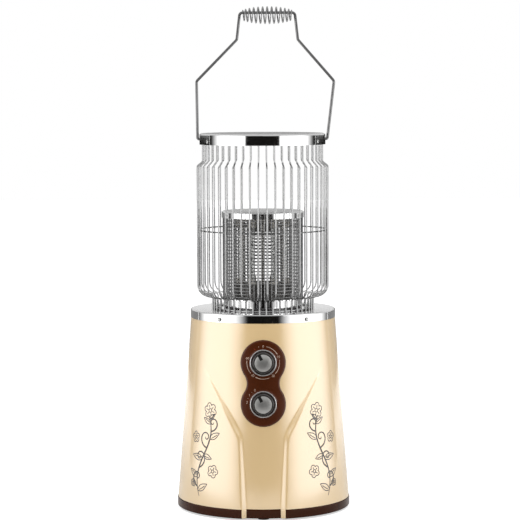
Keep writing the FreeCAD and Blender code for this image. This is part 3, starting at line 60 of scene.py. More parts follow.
MM = 0.001
ROOT = "heater"
GRIP = "grip"
TURN = 2 * math.pi
FRONT_COSINE = 0.2
UPWARD = np.array([0.0, 0.0, 1.0])
CROSSWISE = np.array([1.0, 0.0, 0.0])
WELD_REACH = 1e-6
SLIVER_REACH = 1e-7
SHARP_ANGLE = math.radians(40.0)
RAMP_ENDS = (0.3, 0.7)
THIN_WIRE_SIDES = 6
GRIP_WIRE_SIDES = 14

Pair = tuple[float, float]
Triple = tuple[float, float, float]
Socket = bpy.types.NodeSocket
Material = bpy.types.Material
Array = np.ndarray
SurfacePoint = Callable[[Array, Array, float], Array]


class Side(Enum):
    """The two mirrored sides of body and studio."""

    LEFT = -1
    RIGHT = 1


class Slot(Enum):
    """Material slots of the record, passed along with new pieces."""

    CREAM = "cream_gloss"
    BROWN = "brown_gloss"
    CHROME = "chrome"
    CORE = "core_metal"


# Point arrays and meshes


def unit(vectors: Array) -> Array:
    """Vectors scaled to length one along the last axis."""
    return vectors / np.linalg.norm(vectors, axis=-1, keepdims=True)


def smooth_step(share: Array) -> Array:
    """Soft step from 0 to 1: 3 s^2 - 2 s^3 of the clipped share."""
    clipped = np.clip(share, 0.0, 1.0)
    return clipped * clipped * (3.0 - 2.0 * clipped)


def coords(*columns: Array | float) -> Array:
    """Points from their coordinates, which are broadcast to one shape."""
    return np.stack(np.broadcast_arrays(*columns), -1)


def around(radius: Array | float, azimuth: Array, z: Array | float) -> Array:
    """Points at azimuths from the front, towards +X: (r sin a, -r cos a, z)."""
    return coords(radius * np.sin(azimuth), -radius * np.cos(azimuth), z)


def ring_columns(front_angle: float, fine: int, plain: int) -> Array:
    """Azimuths round a ring, in even fine steps across the front and even plain ones over the rest.

    Args:
        front_angle: Angle each side of the front that gets fine steps, in degrees.
        fine: Number of fine columns.
        plain: Number of plain columns.

    Returns:
        Azimuths in radians.
    """
    front = np.linspace(-front_angle, front_angle, fine)
    rear = np.linspace(front_angle, 360.0 - front_angle, plain + 2)[1:-1]
    return np.radians(np.concatenate([front, rear]))


def arc(centre: Pair, radii: Pair, start: float, end: float, count: int = 24) -> Array:
    """Points on an ellipse between two angles in degrees: centre + (rx cos a, ry sin a)."""
    angle = np.radians(np.linspace(start, end, count))
    return coords(centre[0] + radii[0] * np.cos(angle), centre[1] + radii[1] * np.sin(angle))


@dataclass
class Mesh:
    """Points in millimetres and quads that index them."""

    points: Array
    quads: Array

    @classmethod
    def joined(cls, parts: Sequence["Mesh"]) -> "Mesh":
        """Several meshes as one, with their quads renumbered.

        Args:
            parts: Meshes to join.

        Returns:
            The joined mesh.
        """
        offsets = np.cumsum([0] + [len(part.points) for part in parts[:-1]])
        quads = [part.quads + offset for part, offset in zip(parts, offsets)]
        return cls(np.concatenate([part.points for part in parts]), np.concatenate(quads))

    @classmethod
    def sheet(
        cls, outer: Array, inner: Array, wrap: bool = False, keep: Array | None = None
    ) -> "Mesh":
        """A closed sheet between two grids, with a wall along every edge that one face alone meets.

        Args:
            outer: Grid of outside points, rows by columns by 3.
            inner: Grid of inside points in the same order.
            wrap: Whether the last column joins the first.
            keep: Which faces of the grid exist, all by default.

        Returns:
            The sheet's mesh.
        """
        rows, columns = outer.shape[:2]
        count = rows * columns
        number = np.pad(np.arange(count).reshape(rows, columns), ((0, 0), (0, int(wrap))), mode="wrap")
        cells = np.stack([number[:-1, :-1], number[:-1, 1:], number[1:, 1:], number[1:, :-1]], -1)
        front = cells.reshape(-1, 4) if keep is None else cells[keep]
        edges = np.concatenate([front[:, [side, (side + 1) % 4]] for side in range(4)])
        forward = edges[:, 0] * count + edges[:, 1]
        backward = edges[:, 1] * count + edges[:, 0]
        start, end = edges[~np.isin(forward, backward)].T
        walls = np.stack([end, start, start + count, end + count], -1)
        points = np.concatenate([outer.reshape(-1, 3), inner.reshape(-1, 3)])
        return cls(points, np.concatenate([front, front[:, ::-1] + count, walls]))

    @classmethod
    def tubes(
        cls, paths: Array, radius: float, sides: int, up: Array, closed: bool = False
    ) -> "Mesh":
        """Round tubes: path point + radius (cos a * normal + sin a * side) round each path.

        Args:
            paths: Centre lines, tubes by points by 3.
            radius: Radius of the tubes.
            sides: Faces round a tube.
            up: Direction that no path runs along, one for all or one for each tube.
            closed: Whether each path ends where it starts.

        Returns:
            One mesh of all the tubes, with their ends shut.
        """
        ahead = np.roll(paths, -1, axis=1)
        behind = np.roll(paths, 1, axis=1)
        if not closed:
            ahead[:, -1] = paths[:, -1]
            behind[:, 0] = paths[:, 0]
        tangent = unit(ahead - behind)
        side = unit(np.cross(tangent, up))
        normal = np.cross(side, tangent)
        angle = np.linspace(0.0, TURN, sides, endpoint=False)[:, None]
        spread = np.cos(angle) * normal[:, :, None] + np.sin(angle) * side[:, :, None]
        rings = paths[:, :, None] + radius * spread
        if not closed:
            caps = np.repeat(paths[:, [0, -1], None], sides, axis=2)
            rings = np.concatenate([caps[:, :1], rings, caps[:, 1:]], axis=1)
        tube_count, ring_count = rings.shape[:2]
        number = np.arange(ring_count * sides).reshape(ring_count, sides)
        number = np.pad(number, ((0, int(closed)), (0, 1)), mode="wrap")
        cells = np.stack([number[:-1, :-1], number[1:, :-1], number[1:, 1:], number[:-1, 1:]], -1)
        offsets = np.arange(tube_count)[:, None, None] * ring_count * sides
        return cls(rings.reshape(-1, 3), (cells.reshape(1, -1, 4) + offsets).reshape(-1, 4))

    def piece(
        self,
        name: str,
        finish: str,
        slot: Slot | None,
        body: str = ROOT,
        stands_for: Sequence[str] = (),
    ) -> None:
        """Makes the mesh a piece of the object that moves with one body.

        Args:
            name: Name of the piece.
            finish: Name of its finish.
            slot: Material slot of the record, if it follows one; not used.
            body: Body that it moves with.
            stands_for: CAD nodes that it is shown in place of.
        """
        mesh = bpy.data.meshes.new(name)
        mesh.from_pydata((self.points * MM).tolist(), [], self.quads.tolist())
        weld = bmesh.new()
        weld.from_mesh(mesh)
        bmesh.ops.remove_doubles(weld, verts=weld.verts, dist=WELD_REACH)
        bmesh.ops.dissolve_degenerate(weld, edges=weld.edges, dist=SLIVER_REACH)
        bmesh.ops.recalc_face_normals(weld, faces=weld.faces)
        weld.to_mesh(mesh)
        weld.free()
        mesh.shade_smooth()
        mesh.set_sharp_from_angle(angle=SHARP_ANGLE)
        mesh.materials.append(PALETTE[finish])
        piece = bpy.data.objects.new(name, mesh)
        bpy.context.scene.collection.objects.link(piece)
        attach(piece, body)
        if stands_for:
            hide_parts(*stands_for)
        log.info("%s: %d faces", name, len(mesh.polygons))


# Finishes


class Nodes:
    """A node tree, and short calls that add nodes to it."""

    def __init__(self, tree: bpy.types.NodeTree) -> None:
        """Takes the tree."""
        self.tree = tree

    def add(self, kind: str, *sockets: Socket, operation: str = "", **inputs: object) -> bpy.types.Node:
        """Adds a node.

        Args:
            kind: Type of the node.
            sockets: What its first inputs are linked to.
            operation: What a maths node does.
            inputs: Values or sockets for inputs by name, with _ for a blank.

        Returns:
            The node.
        """
        node = self.tree.nodes.new(kind)
        if operation:
            node.operation = operation
        for source, target in zip(sockets, node.inputs):
            self.tree.links.new(source, target)
        for name, value in inputs.items():
            socket = node.inputs[name.replace("_", " ")]
            if isinstance(value, Socket):
                self.tree.links.new(value, socket)
            else:
                socket.default_value = value
        return node

    def maths(self, operation: str, first: Socket, second: Socket) -> Socket:
        """Result of an operation on two values."""
        return self.add("ShaderNodeMath", first, second, operation=operation).outputs[0]

    def distance(self, place: Socket) -> Socket:
        """Distance of a place from its origin."""
        return self.add("ShaderNodeVectorMath", place, operation="LENGTH").outputs["Value"]


class NodeSheet(Nodes):
    """A node material with one Principled shader."""

    def __init__(self, name: str) -> None:
        """Makes the material and a socket for the object's own coordinates.

        Args:
            name: Name of the material.
        """
        self.material = bpy.data.materials.new(name)
        self.material.use_nodes = True
        super().__init__(self.material.node_tree)
        self.shader = self.tree.nodes["Principled BSDF"]
        self.place = self.add("ShaderNodeTexCoord").outputs["Object"]

    def noise(self, scale: float, detail: float) -> Socket:
        """Noise over the object's own coordinates, as a value from 0 to 1."""
        return self.add("ShaderNodeTexNoise", Vector=self.place, Scale=scale, Detail=detail).outputs[0]

    def ramp(self, factor: Socket, low: Triple, high: Triple) -> Socket:
        """Runs between two colours as a factor crosses the middle of its range.

        Args:
            factor: Value from 0 to 1.
            low: Colour below the middle.
            high: Colour above it.

        Returns:
            The colour.
        """
        node = self.add("ShaderNodeValToRGB", Fac=factor)
        for stop, position, colour in zip(node.color_ramp.elements, RAMP_ENDS, (low, high)):
            stop.position = position
            stop.color = (*colour, 1.0)
        return node.outputs[0]

    def spread(self, value: Socket, **limits: float) -> Socket:
        """Maps a value from between two limits to between two others, 0 and 1 where none are given."""
        return self.add("ShaderNodeMapRange", value, **limits).outputs[0]

    def feed(self, name: str, socket: Socket) -> None:
        """Links a socket to one of the shader's inputs."""
        self.tree.links.new(socket, self.shader.inputs[name])

    def hold(self, **values: object) -> None:
        """Sets inputs of the shader itself, whose names use _ for a blank."""
        for name, value in values.items():
            self.shader.inputs[name.replace("_", " ")].default_value = value

    def bump(self, height: Socket, strength: float, distance: float) -> None:
        """Lets a height pattern tilt the shading."""
        node = self.add("ShaderNodeBump", Height=height, Strength=strength, Distance=distance)
        self.feed("Normal", node.outputs[0])


def shade(colour: Triple, share: float) -> Triple:
    """A colour scaled by a share."""
    return (colour[0] * share, colour[1] * share, colour[2] * share)


@dataclass(frozen=True)
class Finish:
    """A finish whose colour and roughness both wander a little with a noise."""

    name: str
    colour: Triple  # linear
    wander: float  # share by which the colour darkens in places
    rough: Pair  # lowest and highest
    grain: float  # noise cells to a metre
    metallic: float = 0.0  # 1 for bare metal
    coat: float = 0.0  # weight of a clear coat
    coat_rough: float = 0.12
    coat_index: float = 2.3
    shine: float = 0.5  # level of the plain shine under the coat
    peel: float = 0.0  # strength of the fine unevenness in the surface
    peel_depth: float = 0.0004  # depth of that unevenness in metres

    def material(self) -> Material:
        """Builds the finish as a node material.

        Returns:
            The material.
        """
        sheet = NodeSheet(self.name)
        pattern = sheet.noise(self.grain, 4.0)
        sheet.feed("Base Color", sheet.ramp(pattern, shade(self.colour, 1.0 - self.wander), self.colour))
        sheet.feed("Roughness", sheet.spread(pattern, To_Min=self.rough[0], To_Max=self.rough[1]))
        sheet.hold(Metallic=self.metallic, Specular_IOR_Level=self.shine)
        sheet.hold(Coat_Weight=self.coat, Coat_Roughness=self.coat_rough, Coat_IOR=self.coat_index)
        if self.peel:
            sheet.bump(sheet.noise(4.0 * self.grain, 2.0), self.peel, self.peel_depth)
        self.finish(sheet)
        return sheet.material

    def finish(self, sheet: NodeSheet) -> None:
        """What a special finish adds to the plain one."""


@dataclass(frozen=True)
class DomedFinish(Finish):
    """Satin metal whose shading bulges like a shallow dome."""

    centre: Triple = (0.0, 0.0, 0.0)  # middle of the dome in metres
    dome_radius: float = 0.05  # radius of the dome in metres

    def finish(self, sheet: NodeSheet) -> None:
        """Bumps the shading by a height of -r^2 / 2R, with r the distance from the centre.

        Args:
            sheet: Nodes of the material.
        """
        moved = sheet.add("ShaderNodeMapping", Vector=sheet.place, Location=shade(self.centre, -1.0))
        away = sheet.distance(moved.outputs[0])
        sheet.bump(sheet.maths("MULTIPLY", away, away), 1.0, -0.5 / self.dome_radius)


@dataclass(frozen=True)
class GlassFinish(Finish):
    """Milky quartz that lets most light through."""

    clear: float = 0.8  # share of the light that it lets through
    index: float = 1.46

    def finish(self, sheet: NodeSheet) -> None:
        """Lets the light through."""
        sheet.hold(Transmission_Weight=self.clear, IOR=self.index)


FINISHES: dict[str, Finish] = {
    finish.name: finish
    for finish in (
        Finish("cream_gloss", (0.70, 0.50, 0.25), 0.03, (0.4, 0.46), 9.0, coat=1.0, peel=0.02),
        Finish("brown_gloss", (0.058, 0.0120, 0.0020), 0.06, (0.22, 0.28), 30.0, shine=0.3),
        # The base ring's finish is brown_gloss darkened as painted shade, with less shine.
        Finish("ring_gloss", (0.036, 0.0085, 0.0020), 0.08, (0.14, 0.20), 30.0, shine=0.12),
        Finish("chrome", (0.56, 0.56, 0.56), 0.04, (0.05, 0.10), 90.0, metallic=1.0),
        Finish("bright_wire", (0.38, 0.38, 0.38), 0.06, (0.10, 0.16), 120.0, metallic=1.0),
        Finish("bail_wire", (0.15, 0.15, 0.15), 0.06, (0.10, 0.16), 120.0, metallic=1.0),
        Finish("grip_wire", (0.26, 0.26, 0.26), 0.06, (0.10, 0.16), 120.0, metallic=1.0),
        Finish("mesh_wire", (0.19, 0.19, 0.19), 0.25, (0.2, 0.35), 160.0, metallic=1.0),
        Finish("satin_chrome", (0.72, 0.71, 0.70), 0.04, (0.26, 0.32), 300.0, metallic=1.0),
        Finish("screw_steel", (0.36, 0.36, 0.35), 0.12, (0.20, 0.30), 600.0, metallic=1.0),
        Finish("zinc_plate", (0.55, 0.56, 0.57), 0.2, (0.28, 0.45), 120.0, metallic=1.0),
        Finish("black_plastic", (0.012, 0.011, 0.010), 0.3, (0.26, 0.36), 500.0, peel=0.04),
        Finish("satin_disc", (0.42, 0.415, 0.40), 0.06, (0.34, 0.42), 700.0, 1.0),
        Finish("grey_plastic", (0.30, 0.30, 0.29), 0.1, (0.45, 0.6), 300.0, peel=0.05),
        Finish("lead_rubber", (0.40, 0.07, 0.05), 0.15, (0.4, 0.55), 300.0),
        Finish("dark_steel", (0.10, 0.095, 0.09), 0.3, (0.3, 0.5), 150.0, metallic=0.9),
        Finish("ceramic", (0.74, 0.71, 0.65), 0.08, (0.42, 0.6), 200.0, peel=0.06),
        Finish("core_metal", (0.62, 0.60, 0.57), 0.2, (0.25, 0.4), 400.0, metallic=1.0),
        GlassFinish("quartz", (0.93, 0.93, 0.92), 0.05, (0.12, 0.25), 150.0),
        Finish("foot_rubber", (0.02, 0.018, 0.016), 0.3, (0.6, 0.8), 300.0, peel=0.1),
        Finish("print_ink", (0.075, 0.066, 0.06), 0.15, (0.35, 0.5), 150.0),
        Finish("pale_ink", (0.60, 0.45, 0.36), 0.1, (0.4, 0.5), 150.0),
        Finish("red_ink", (0.50, 0.05, 0.02), 0.1, (0.4, 0.5), 150.0),
    )
}
NODE_FINISHES: dict[str, str] = {
    "cage_wires": "bright_wire",
    "cage_hoop": "bail_wire",
    "cage_foot_ring": "bright_wire",
    "handle": "bail_wire",
    "timer_bezel": "satin_chrome",
    "power_bezel": "satin_chrome",
}
FACE_NODES = ("timer_knob_face", "power_knob_face")


class Palette(dict[str, Material]):
    """Makes each finish once and hands it out by name."""

    def __missing__(self, name: str) -> Material:
        """Makes the finish of that name when it is first asked for."""
        self[name] = FINISHES[name].material()
        return self[name]

    def dress_nodes(self) -> None:
        """Gives every CAD node its own finish, or that of its slot in the record."""
        for part in frame["record"]["subparts"]:
            name = part["node"]
            node = frame["nodes"][name]
            node.data.materials.clear()
            if name in FACE_NODES:
                low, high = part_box(name)
                plain = FINISHES[part["material_slot"]]
                domed = DomedFinish(**{**vars(plain), "name": name}, centre=tuple(0.5 * (low + high)))
                node.data.materials.append(domed.material())
            else:
                node.data.materials.append(self[NODE_FINISHES.get(name, part["material_slot"])])


PALETTE = Palette()


# The base


@dataclass
class BodyForm:
    """The lacquered cone and the soft-edged recess in its front."""

    recess_depth: float = 4.6  # depth of the recess at the foot; it fades out upwards
    recess_half_width: float = 37.5  # half width of the straight lower part, halfway up
    flare: float = 5.0  # how much that half width grows from the foot to the turn
    turn_drop: float = 200.5  # depth below the cone's top where its sides turn outwards
    fade_drop: float = 82.0  # depth below the cone's top where it has faded out
    half_spread: float = 105.0  # half width where it fades out
    step_ratio: float = 1.15  # width of the side for each millimetre of its height, double past the turn
    turn_round: float = 7.0  # softness of the turn
    lip: float = 2.6  # extra height of the side, which fades out only near the top
    lip_reach: float = 34.0  # how far the lip spreads to both sides
    lip_fade: float = 0.16  # share of the recess's rise over which the lip fades
    fade_soft: float = 0.004  # softness of the recess's upper end
    corner_soft: float = 0.006  # softness of both corners of the sloping side
    gentle_run: float = 50.0  # rise over which the side turns less steep past the turn
    least_step: float = 1.2  # least width of the sloping side
    collar_proud: float = 0.5  # how far the lid's collar stands out past the cone

    def __post_init__(self) -> None:
        """Takes foot, top and slope from the boxes of shell and lid."""
        low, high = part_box("body_shell")
        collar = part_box("top_plate")[1].x / MM
        self.foot_z = low.z / MM
        self.top_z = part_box("top_plate")[0].z / MM
        self.foot_radius = high.x / MM
        self.turn_rise = self.top_z - self.foot_z - self.turn_drop
        self.fade_rise = self.top_z - self.foot_z - self.fade_drop
        self.slope = (self.foot_radius - collar + self.collar_proud) / (self.top_z - self.foot_z)
        self.lean = math.atan(self.slope)

    def radius(self, z: Array) -> Array:
        """Radius of the plain cone: foot radius - slope * rise."""
        return self.foot_radius - self.slope * (z - self.foot_z)

    def foot_half_width(self) -> float:
        """Half width of the recess at the foot."""
        return self.recess_half_width - 0.5 * self.flare

    def recess(self, x: Array, z: Array) -> Array:
        """Depth of the recess: a depth that fades with the rise, times a sloping step across its side.

        A lip lifts the outer edge of the step and sinks its inner edge.

        Args:
            x: Places across.
            z: Heights.

        Returns:
            Depths under the plain cone.
        """
        rise = z - self.foot_z
        past = rise - self.turn_rise
        span = self.fade_rise - self.turn_rise
        widening = (self.half_spread - self.recess_half_width - 0.5 * self.flare) / span
        bent = 0.5 * (past + np.sqrt(past * past + self.turn_round**2))
        grown = self.flare * ((rise - bent) / self.turn_rise - 0.5)
        half = self.recess_half_width + grown + widening * bent
        left = 1.0 - rise / self.fade_rise
        depth = self.recess_depth * 0.5 * (left + np.sqrt(left * left + self.fade_soft))
        lip = self.lip * (1.0 - np.exp(-np.maximum(left, 0.0) / self.lip_fade))
        gentle = smooth_step(past / self.gentle_run + 0.4) * (1.0 - smooth_step(past / span - 0.2))
        step = np.maximum((depth + lip) * self.step_ratio * (1.0 + gentle), self.least_step)
        edge = half - np.abs(x)
        share = edge / step + 0.5
        low_corner = np.sqrt(share * share + self.corner_soft)
        high_corner = np.sqrt((share - 1.0) ** 2 + self.corner_soft)
        slope = 0.5 * (1.0 + low_corner - high_corner)
        return depth * slope + lip * (slope - 0.5) * np.exp(-((edge / self.lip_reach) ** 2))

    def inset(self, radius: Array, azimuth: Array, z: Array) -> Array:
        """Depth of the recess at a radius and azimuth; none behind the front."""
        return np.where(np.cos(azimuth) > FRONT_COSINE, self.recess(radius * np.sin(azimuth), z), 0.0)

    def point(self, azimuth: Array, z: Array, lift: float | Array) -> Array:
        """Points of the recessed cone at azimuths and heights, with r = cone - recess + lift."""
        plain = self.radius(z)
        return around(plain + lift - self.inset(plain, azimuth, z), azimuth, z)


@dataclass
class BodyShell:
    """The lacquered sheet cone, with holes for the two switch bushes behind the panel."""

    form: BodyForm
    knob_heights: Sequence[float]
    wall: float = 2.5
    columns: tuple[float, int, int] = (64.0, 260, 110)  # half angle of the front, columns there and behind
    row_pitch: float = 1.7  # height of a row in the recess
    plain_rows: int = 24  # rows over the recess
    hole_radius: float = 5.6

    def build(self) -> None:
        """Makes the sheet from its outer surface and the same surface one wall further in."""
        fade_z = self.form.foot_z + self.form.fade_rise
        rows = np.concatenate([
            np.arange(self.form.foot_z, fade_z, self.row_pitch),
            np.linspace(fade_z, self.form.top_z, self.plain_rows),
        ])
        azimuth, z = np.meshgrid(ring_columns(*self.columns), rows)
        outer = self.form.point(azimuth, z, 0.0)
        inner = self.form.point(azimuth, z, -self.wall)
        middle = 0.5 * (outer[:-1] + outer[1:])
        middle = 0.5 * (middle + np.roll(middle, -1, axis=1))
        keep = np.ones(middle.shape[:2], bool)
        for height in self.knob_heights:
            away = np.hypot(middle[..., 0], middle[..., 2] - height)
            keep &= ~((away < self.hole_radius) & (middle[..., 1] < 0))
        sheet = Mesh.sheet(outer, inner, wrap=True, keep=keep)
        sheet.piece("shell_skin", "cream_gloss", Slot.CREAM, stands_for=["body_shell"])


@dataclass
class BaseRing:
    """The moulded ring under the shell; the front's recess runs through it, and two cream strips on it are
    painted highlights.
    """

    form: BodyForm
    band: float = 10.5  # width of the ring's section
    edge_round: float = 2.2  # radius of its outer edges
    edge_points: int = 9
    highlight_strip_width: float = 7.0  # width of the two cream strips that run down over it: painted highlights
    highlight_strip_lift: float = 0.3  # how far the painted highlight strips stand out
    highlight_strip_columns: int = 14
    columns: tuple[float, int, int] = (30.0, 140, 240)  # half angle of the front, columns there and behind

    def __post_init__(self) -> None:
        """Draws the section's outer side: a quarter circle below, and a slightly shorter arc above."""
        low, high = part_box("base_ring")
        self.radius = high.x / MM
        middle = self.radius - self.edge_round
        rounds = (self.edge_round, self.edge_round)
        lower = arc((middle, low.z / MM + self.edge_round), rounds, -90.0, 0.0, self.edge_points)
        upper = arc((middle, self.form.foot_z - self.edge_round), rounds, 0.0, 80.0, self.edge_points)
        self.section = np.concatenate([lower, upper])

    def points(self, azimuth: Array, lift: float) -> Array:
        """Grid of the section turned to each azimuth, pushed in by the recess and out by the lift."""
        r, z = self.section[:, :1], self.section[:, 1:]
        return around(r + lift - self.form.inset(r, azimuth, np.asarray(self.form.foot_z)), azimuth, z)

    def build(self) -> None:
        """Turns a section with rounded outer edges, and lays two cream strips on it as painted highlights.
        """
        outer = self.points(ring_columns(*self.columns), 0.0)
        back = (self.radius - self.band) / np.hypot(outer[..., 0], outer[..., 1])
        inner = outer * coords(back, back, 1.0)
        sheet = Mesh.sheet(outer, inner, wrap=True)
        sheet.piece("ring_skin", "ring_gloss", Slot.BROWN, stands_for=["base_ring"])
        # Two cream strips over the brown ring, one each side of the recess: painted highlights.
        spread = np.linspace(-0.5, 0.5, self.highlight_strip_columns)
        reach = self.form.foot_half_width() + self.highlight_strip_width * spread
        highlight_strips = []
        for side in Side:
            turn = side.value * np.arcsin(reach / self.radius)
            highlight_strips.append(Mesh.sheet(self.points(turn, self.highlight_strip_lift), self.points(turn, 0.0)))
        Mesh.joined(highlight_strips).piece("painted_highlight_strips", "cream_gloss", Slot.CREAM)


@dataclass
class ControlPanel:
    """The figure-eight cover: two round lobes joined by a waist, with a flat seat under each knob."""

    form: BodyForm
    knob_heights: Sequence[float]
    lobe_radius: float = 40.0
    waist: float = 29.0  # half width
    thickness: float = 2.6  # how far the cover stands out
    edge_round: float = 2.6  # radius of its rounded rim
    seat_radius: float = 23.3
    seat_blend: float = 1.2  # width of the step round a seat
    hole_radius: float = 5.6
    sink: float = 0.2  # how far its underside lies in the body
    rows: int = 161
    columns: int = 91

    def __post_init__(self) -> None:
        """Works out the waist's arcs, which touch both lobe circles."""
        self.sine, self.cosine = math.sin(self.form.lean), math.cos(self.form.lean)
        self.middle_z = 0.5 * (self.knob_heights[0] + self.knob_heights[1])
        self.start = self.form.radius(np.asarray(self.middle_z))
        self.lobe_rise = 0.5 * abs(self.knob_heights[0] - self.knob_heights[1]) / self.cosine
        spare = self.waist**2 + self.lobe_rise**2 - self.lobe_radius**2
        self.waist_radius = spare / (2.0 * (self.lobe_radius - self.waist))
        self.waist_centre = self.waist + self.waist_radius
        self.join_rise = self.lobe_rise * self.waist_radius / (self.lobe_radius + self.waist_radius)

    def frame_point(self, x: Array, t: Array, height: Array) -> Array:
        """Points at x across, t up the slope and a height off the cone's front line."""
        y = -self.start + t * self.sine - height * self.cosine
        return coords(x, y, self.middle_z + t * self.cosine + height * self.sine)

    def height(self, x: Array, t: Array, lift: float | Array) -> Array:
        """Height of a surface that follows the body: lift - the cone's curve - recess.

        Args:
            x: Places across.
            t: Places up the slope.
            lift: Height over the body.

        Returns:
            Heights off the cone's front line.
        """
        z = self.middle_z + t * self.cosine
        radius = self.form.radius(z)
        curve = radius - np.sqrt(radius * radius - x * x)
        return lift - curve - self.form.recess(x, z)

    def surface(self, x: Array, t: Array, lift: float) -> Array:
        """Points a little above the cover's face."""
        return self.frame_point(x, t, self.face_height(x, t) + lift)

    def face_height(self, x: Array, t: Array) -> Array:
        """Height of the face: a quarter round at the rim, and a soft step up to each flat seat.

        Args:
            x: Places across.
            t: Places up the slope.

        Returns:
            Heights off the cone's front line.
        """
        away = np.hypot(x, np.abs(t) - self.lobe_rise)
        waist = np.hypot(np.abs(x) - self.waist_centre, t) - self.waist_radius
        rim = np.where(np.abs(t) < self.join_rise, waist, self.lobe_radius - away)
        inward = np.clip(rim / self.edge_round, 0.0, 1.0)
        curved = self.height(x, t, self.thickness * np.sqrt(1.0 - (1.0 - inward) ** 2))
        seat = smooth_step((self.seat_radius + self.seat_blend - away) / self.seat_blend)
        return curved + seat * (self.thickness - curved)

    def build(self) -> None:
        """Makes a sheet between the cover's face and the body, within waist arcs and lobe circles."""
        end = self.lobe_rise + self.lobe_radius
        quarter = 0.5 * math.pi
        rows = end * np.sin(np.linspace(-quarter, quarter, self.rows))
        shares = np.sin(np.linspace(-quarter, quarter, self.columns))
        share, t = np.meshgrid(shares, rows)
        waist = self.waist_centre - np.sqrt(np.clip(self.waist_radius**2 - t * t, 0.0, None))
        lobe = np.sqrt(np.clip(self.lobe_radius**2 - (np.abs(t) - self.lobe_rise) ** 2, 0.0, None))
        x = share * np.where(np.abs(t) < self.join_rise, waist, lobe)
        outer = self.frame_point(x, t, self.face_height(x, t))
        inner = self.frame_point(x, t, self.height(x, t, -self.sink))
        middle_x = 0.25 * (x[:-1, :-1] + x[1:, :-1] + x[:-1, 1:] + x[1:, 1:])
        middle_t = 0.5 * (t[:-1, :-1] + t[1:, :-1])
        keep = np.hypot(middle_x, np.abs(middle_t) - self.lobe_rise) > self.hole_radius
        sheet = Mesh.sheet(outer, inner, keep=keep)
        sheet.piece("panel_skin", "brown_gloss", Slot.BROWN, stands_for=["control_panel"])


# Printed lines


@dataclass
class Ribbons:
    """Flat printed lines that lie on a surface."""

    surface: SurfacePoint  # gives points from two surface coordinates and a lift
    lift: float = 0.04  # height of the ink's underside
    ink: float = 0.1

    def __post_init__(self) -> None:
        """Starts with no lines."""
        self.parts: list[Mesh] = []

    def draw(self, line: Array, width: float | Array) -> None:
        """Adds a line: both edges lie half a width to the side of it.

        Args:
            line: Points on the surface, count by 2.
            width: Width of the line, one or one for each point.
        """
        heading = unit(np.gradient(line, axis=0))
        half = np.broadcast_to(width, len(line))[:, None] / 2
        aside = coords(-heading[:, 1], heading[:, 0]) * half
        edges = np.stack([line - aside, line + aside], 1)
        first, second = edges[..., 0], edges[..., 1]
        outer = self.surface(first, second, self.lift + self.ink)
        inner = self.surface(first, second, self.lift)
        self.parts.append(Mesh.sheet(outer, inner))

    def piece(self, name: str, finish: str) -> None:
        """Joins the lines into one piece."""
        Mesh.joined(self.parts).piece(name, finish, None)


def bar(*corners: Pair) -> Array:
    """A straight line between two corners."""
    return np.array(corners)


NUMERALS: dict[str, list[Array]] = {
    "0": [arc((0.3, 0.5), (0.27, 0.5), 0.0, 360.0)],
    "1": [bar((0.14, 0.8), (0.34, 1.0)), bar((0.34, 1.0), (0.34, 0.0))],
    "2": [
        arc((0.3, 0.72), (0.26, 0.28), 170.0, -35.0),
        bar((0.51, 0.56), (0.04, 0.0)),
        bar((0.02, 0.0), (0.58, 0.0)),
    ],
    "3": [arc((0.28, 0.75), (0.25, 0.25), 150.0, -90.0), arc((0.28, 0.25), (0.28, 0.25), 90.0, -150.0)],
    "4": [bar((0.42, 0.0), (0.42, 1.0)), bar((0.42, 1.0), (0.02, 0.3)), bar((0.0, 0.3), (0.6, 0.3))],
    "5": [
        bar((0.52, 1.0), (0.12, 1.0)),
        bar((0.12, 1.0), (0.07, 0.52)),
        arc((0.28, 0.31), (0.28, 0.31), 135.0, -150.0),
    ],
    "6": [arc((0.3, 0.29), (0.27, 0.29), 0.0, 360.0), arc((0.62, 0.29), (0.59, 0.71), 180.0, 100.0)],
}
MINUTES = ((0, "0"), (69, "15"), (143, "30"), (219, "45"), (286, "60"))
MINUTE_SWEEPS = ((11, 59), (80, 132), (156, 208), (230, 277))
SWEEP_POINTS = 40
MINUTE_DASH, RED_DASH = -16, -32
POSITIONS = ((-31, "0"), (-57, "1"), (-83, "2"))
POSITION_DASHES = (-44, -70)


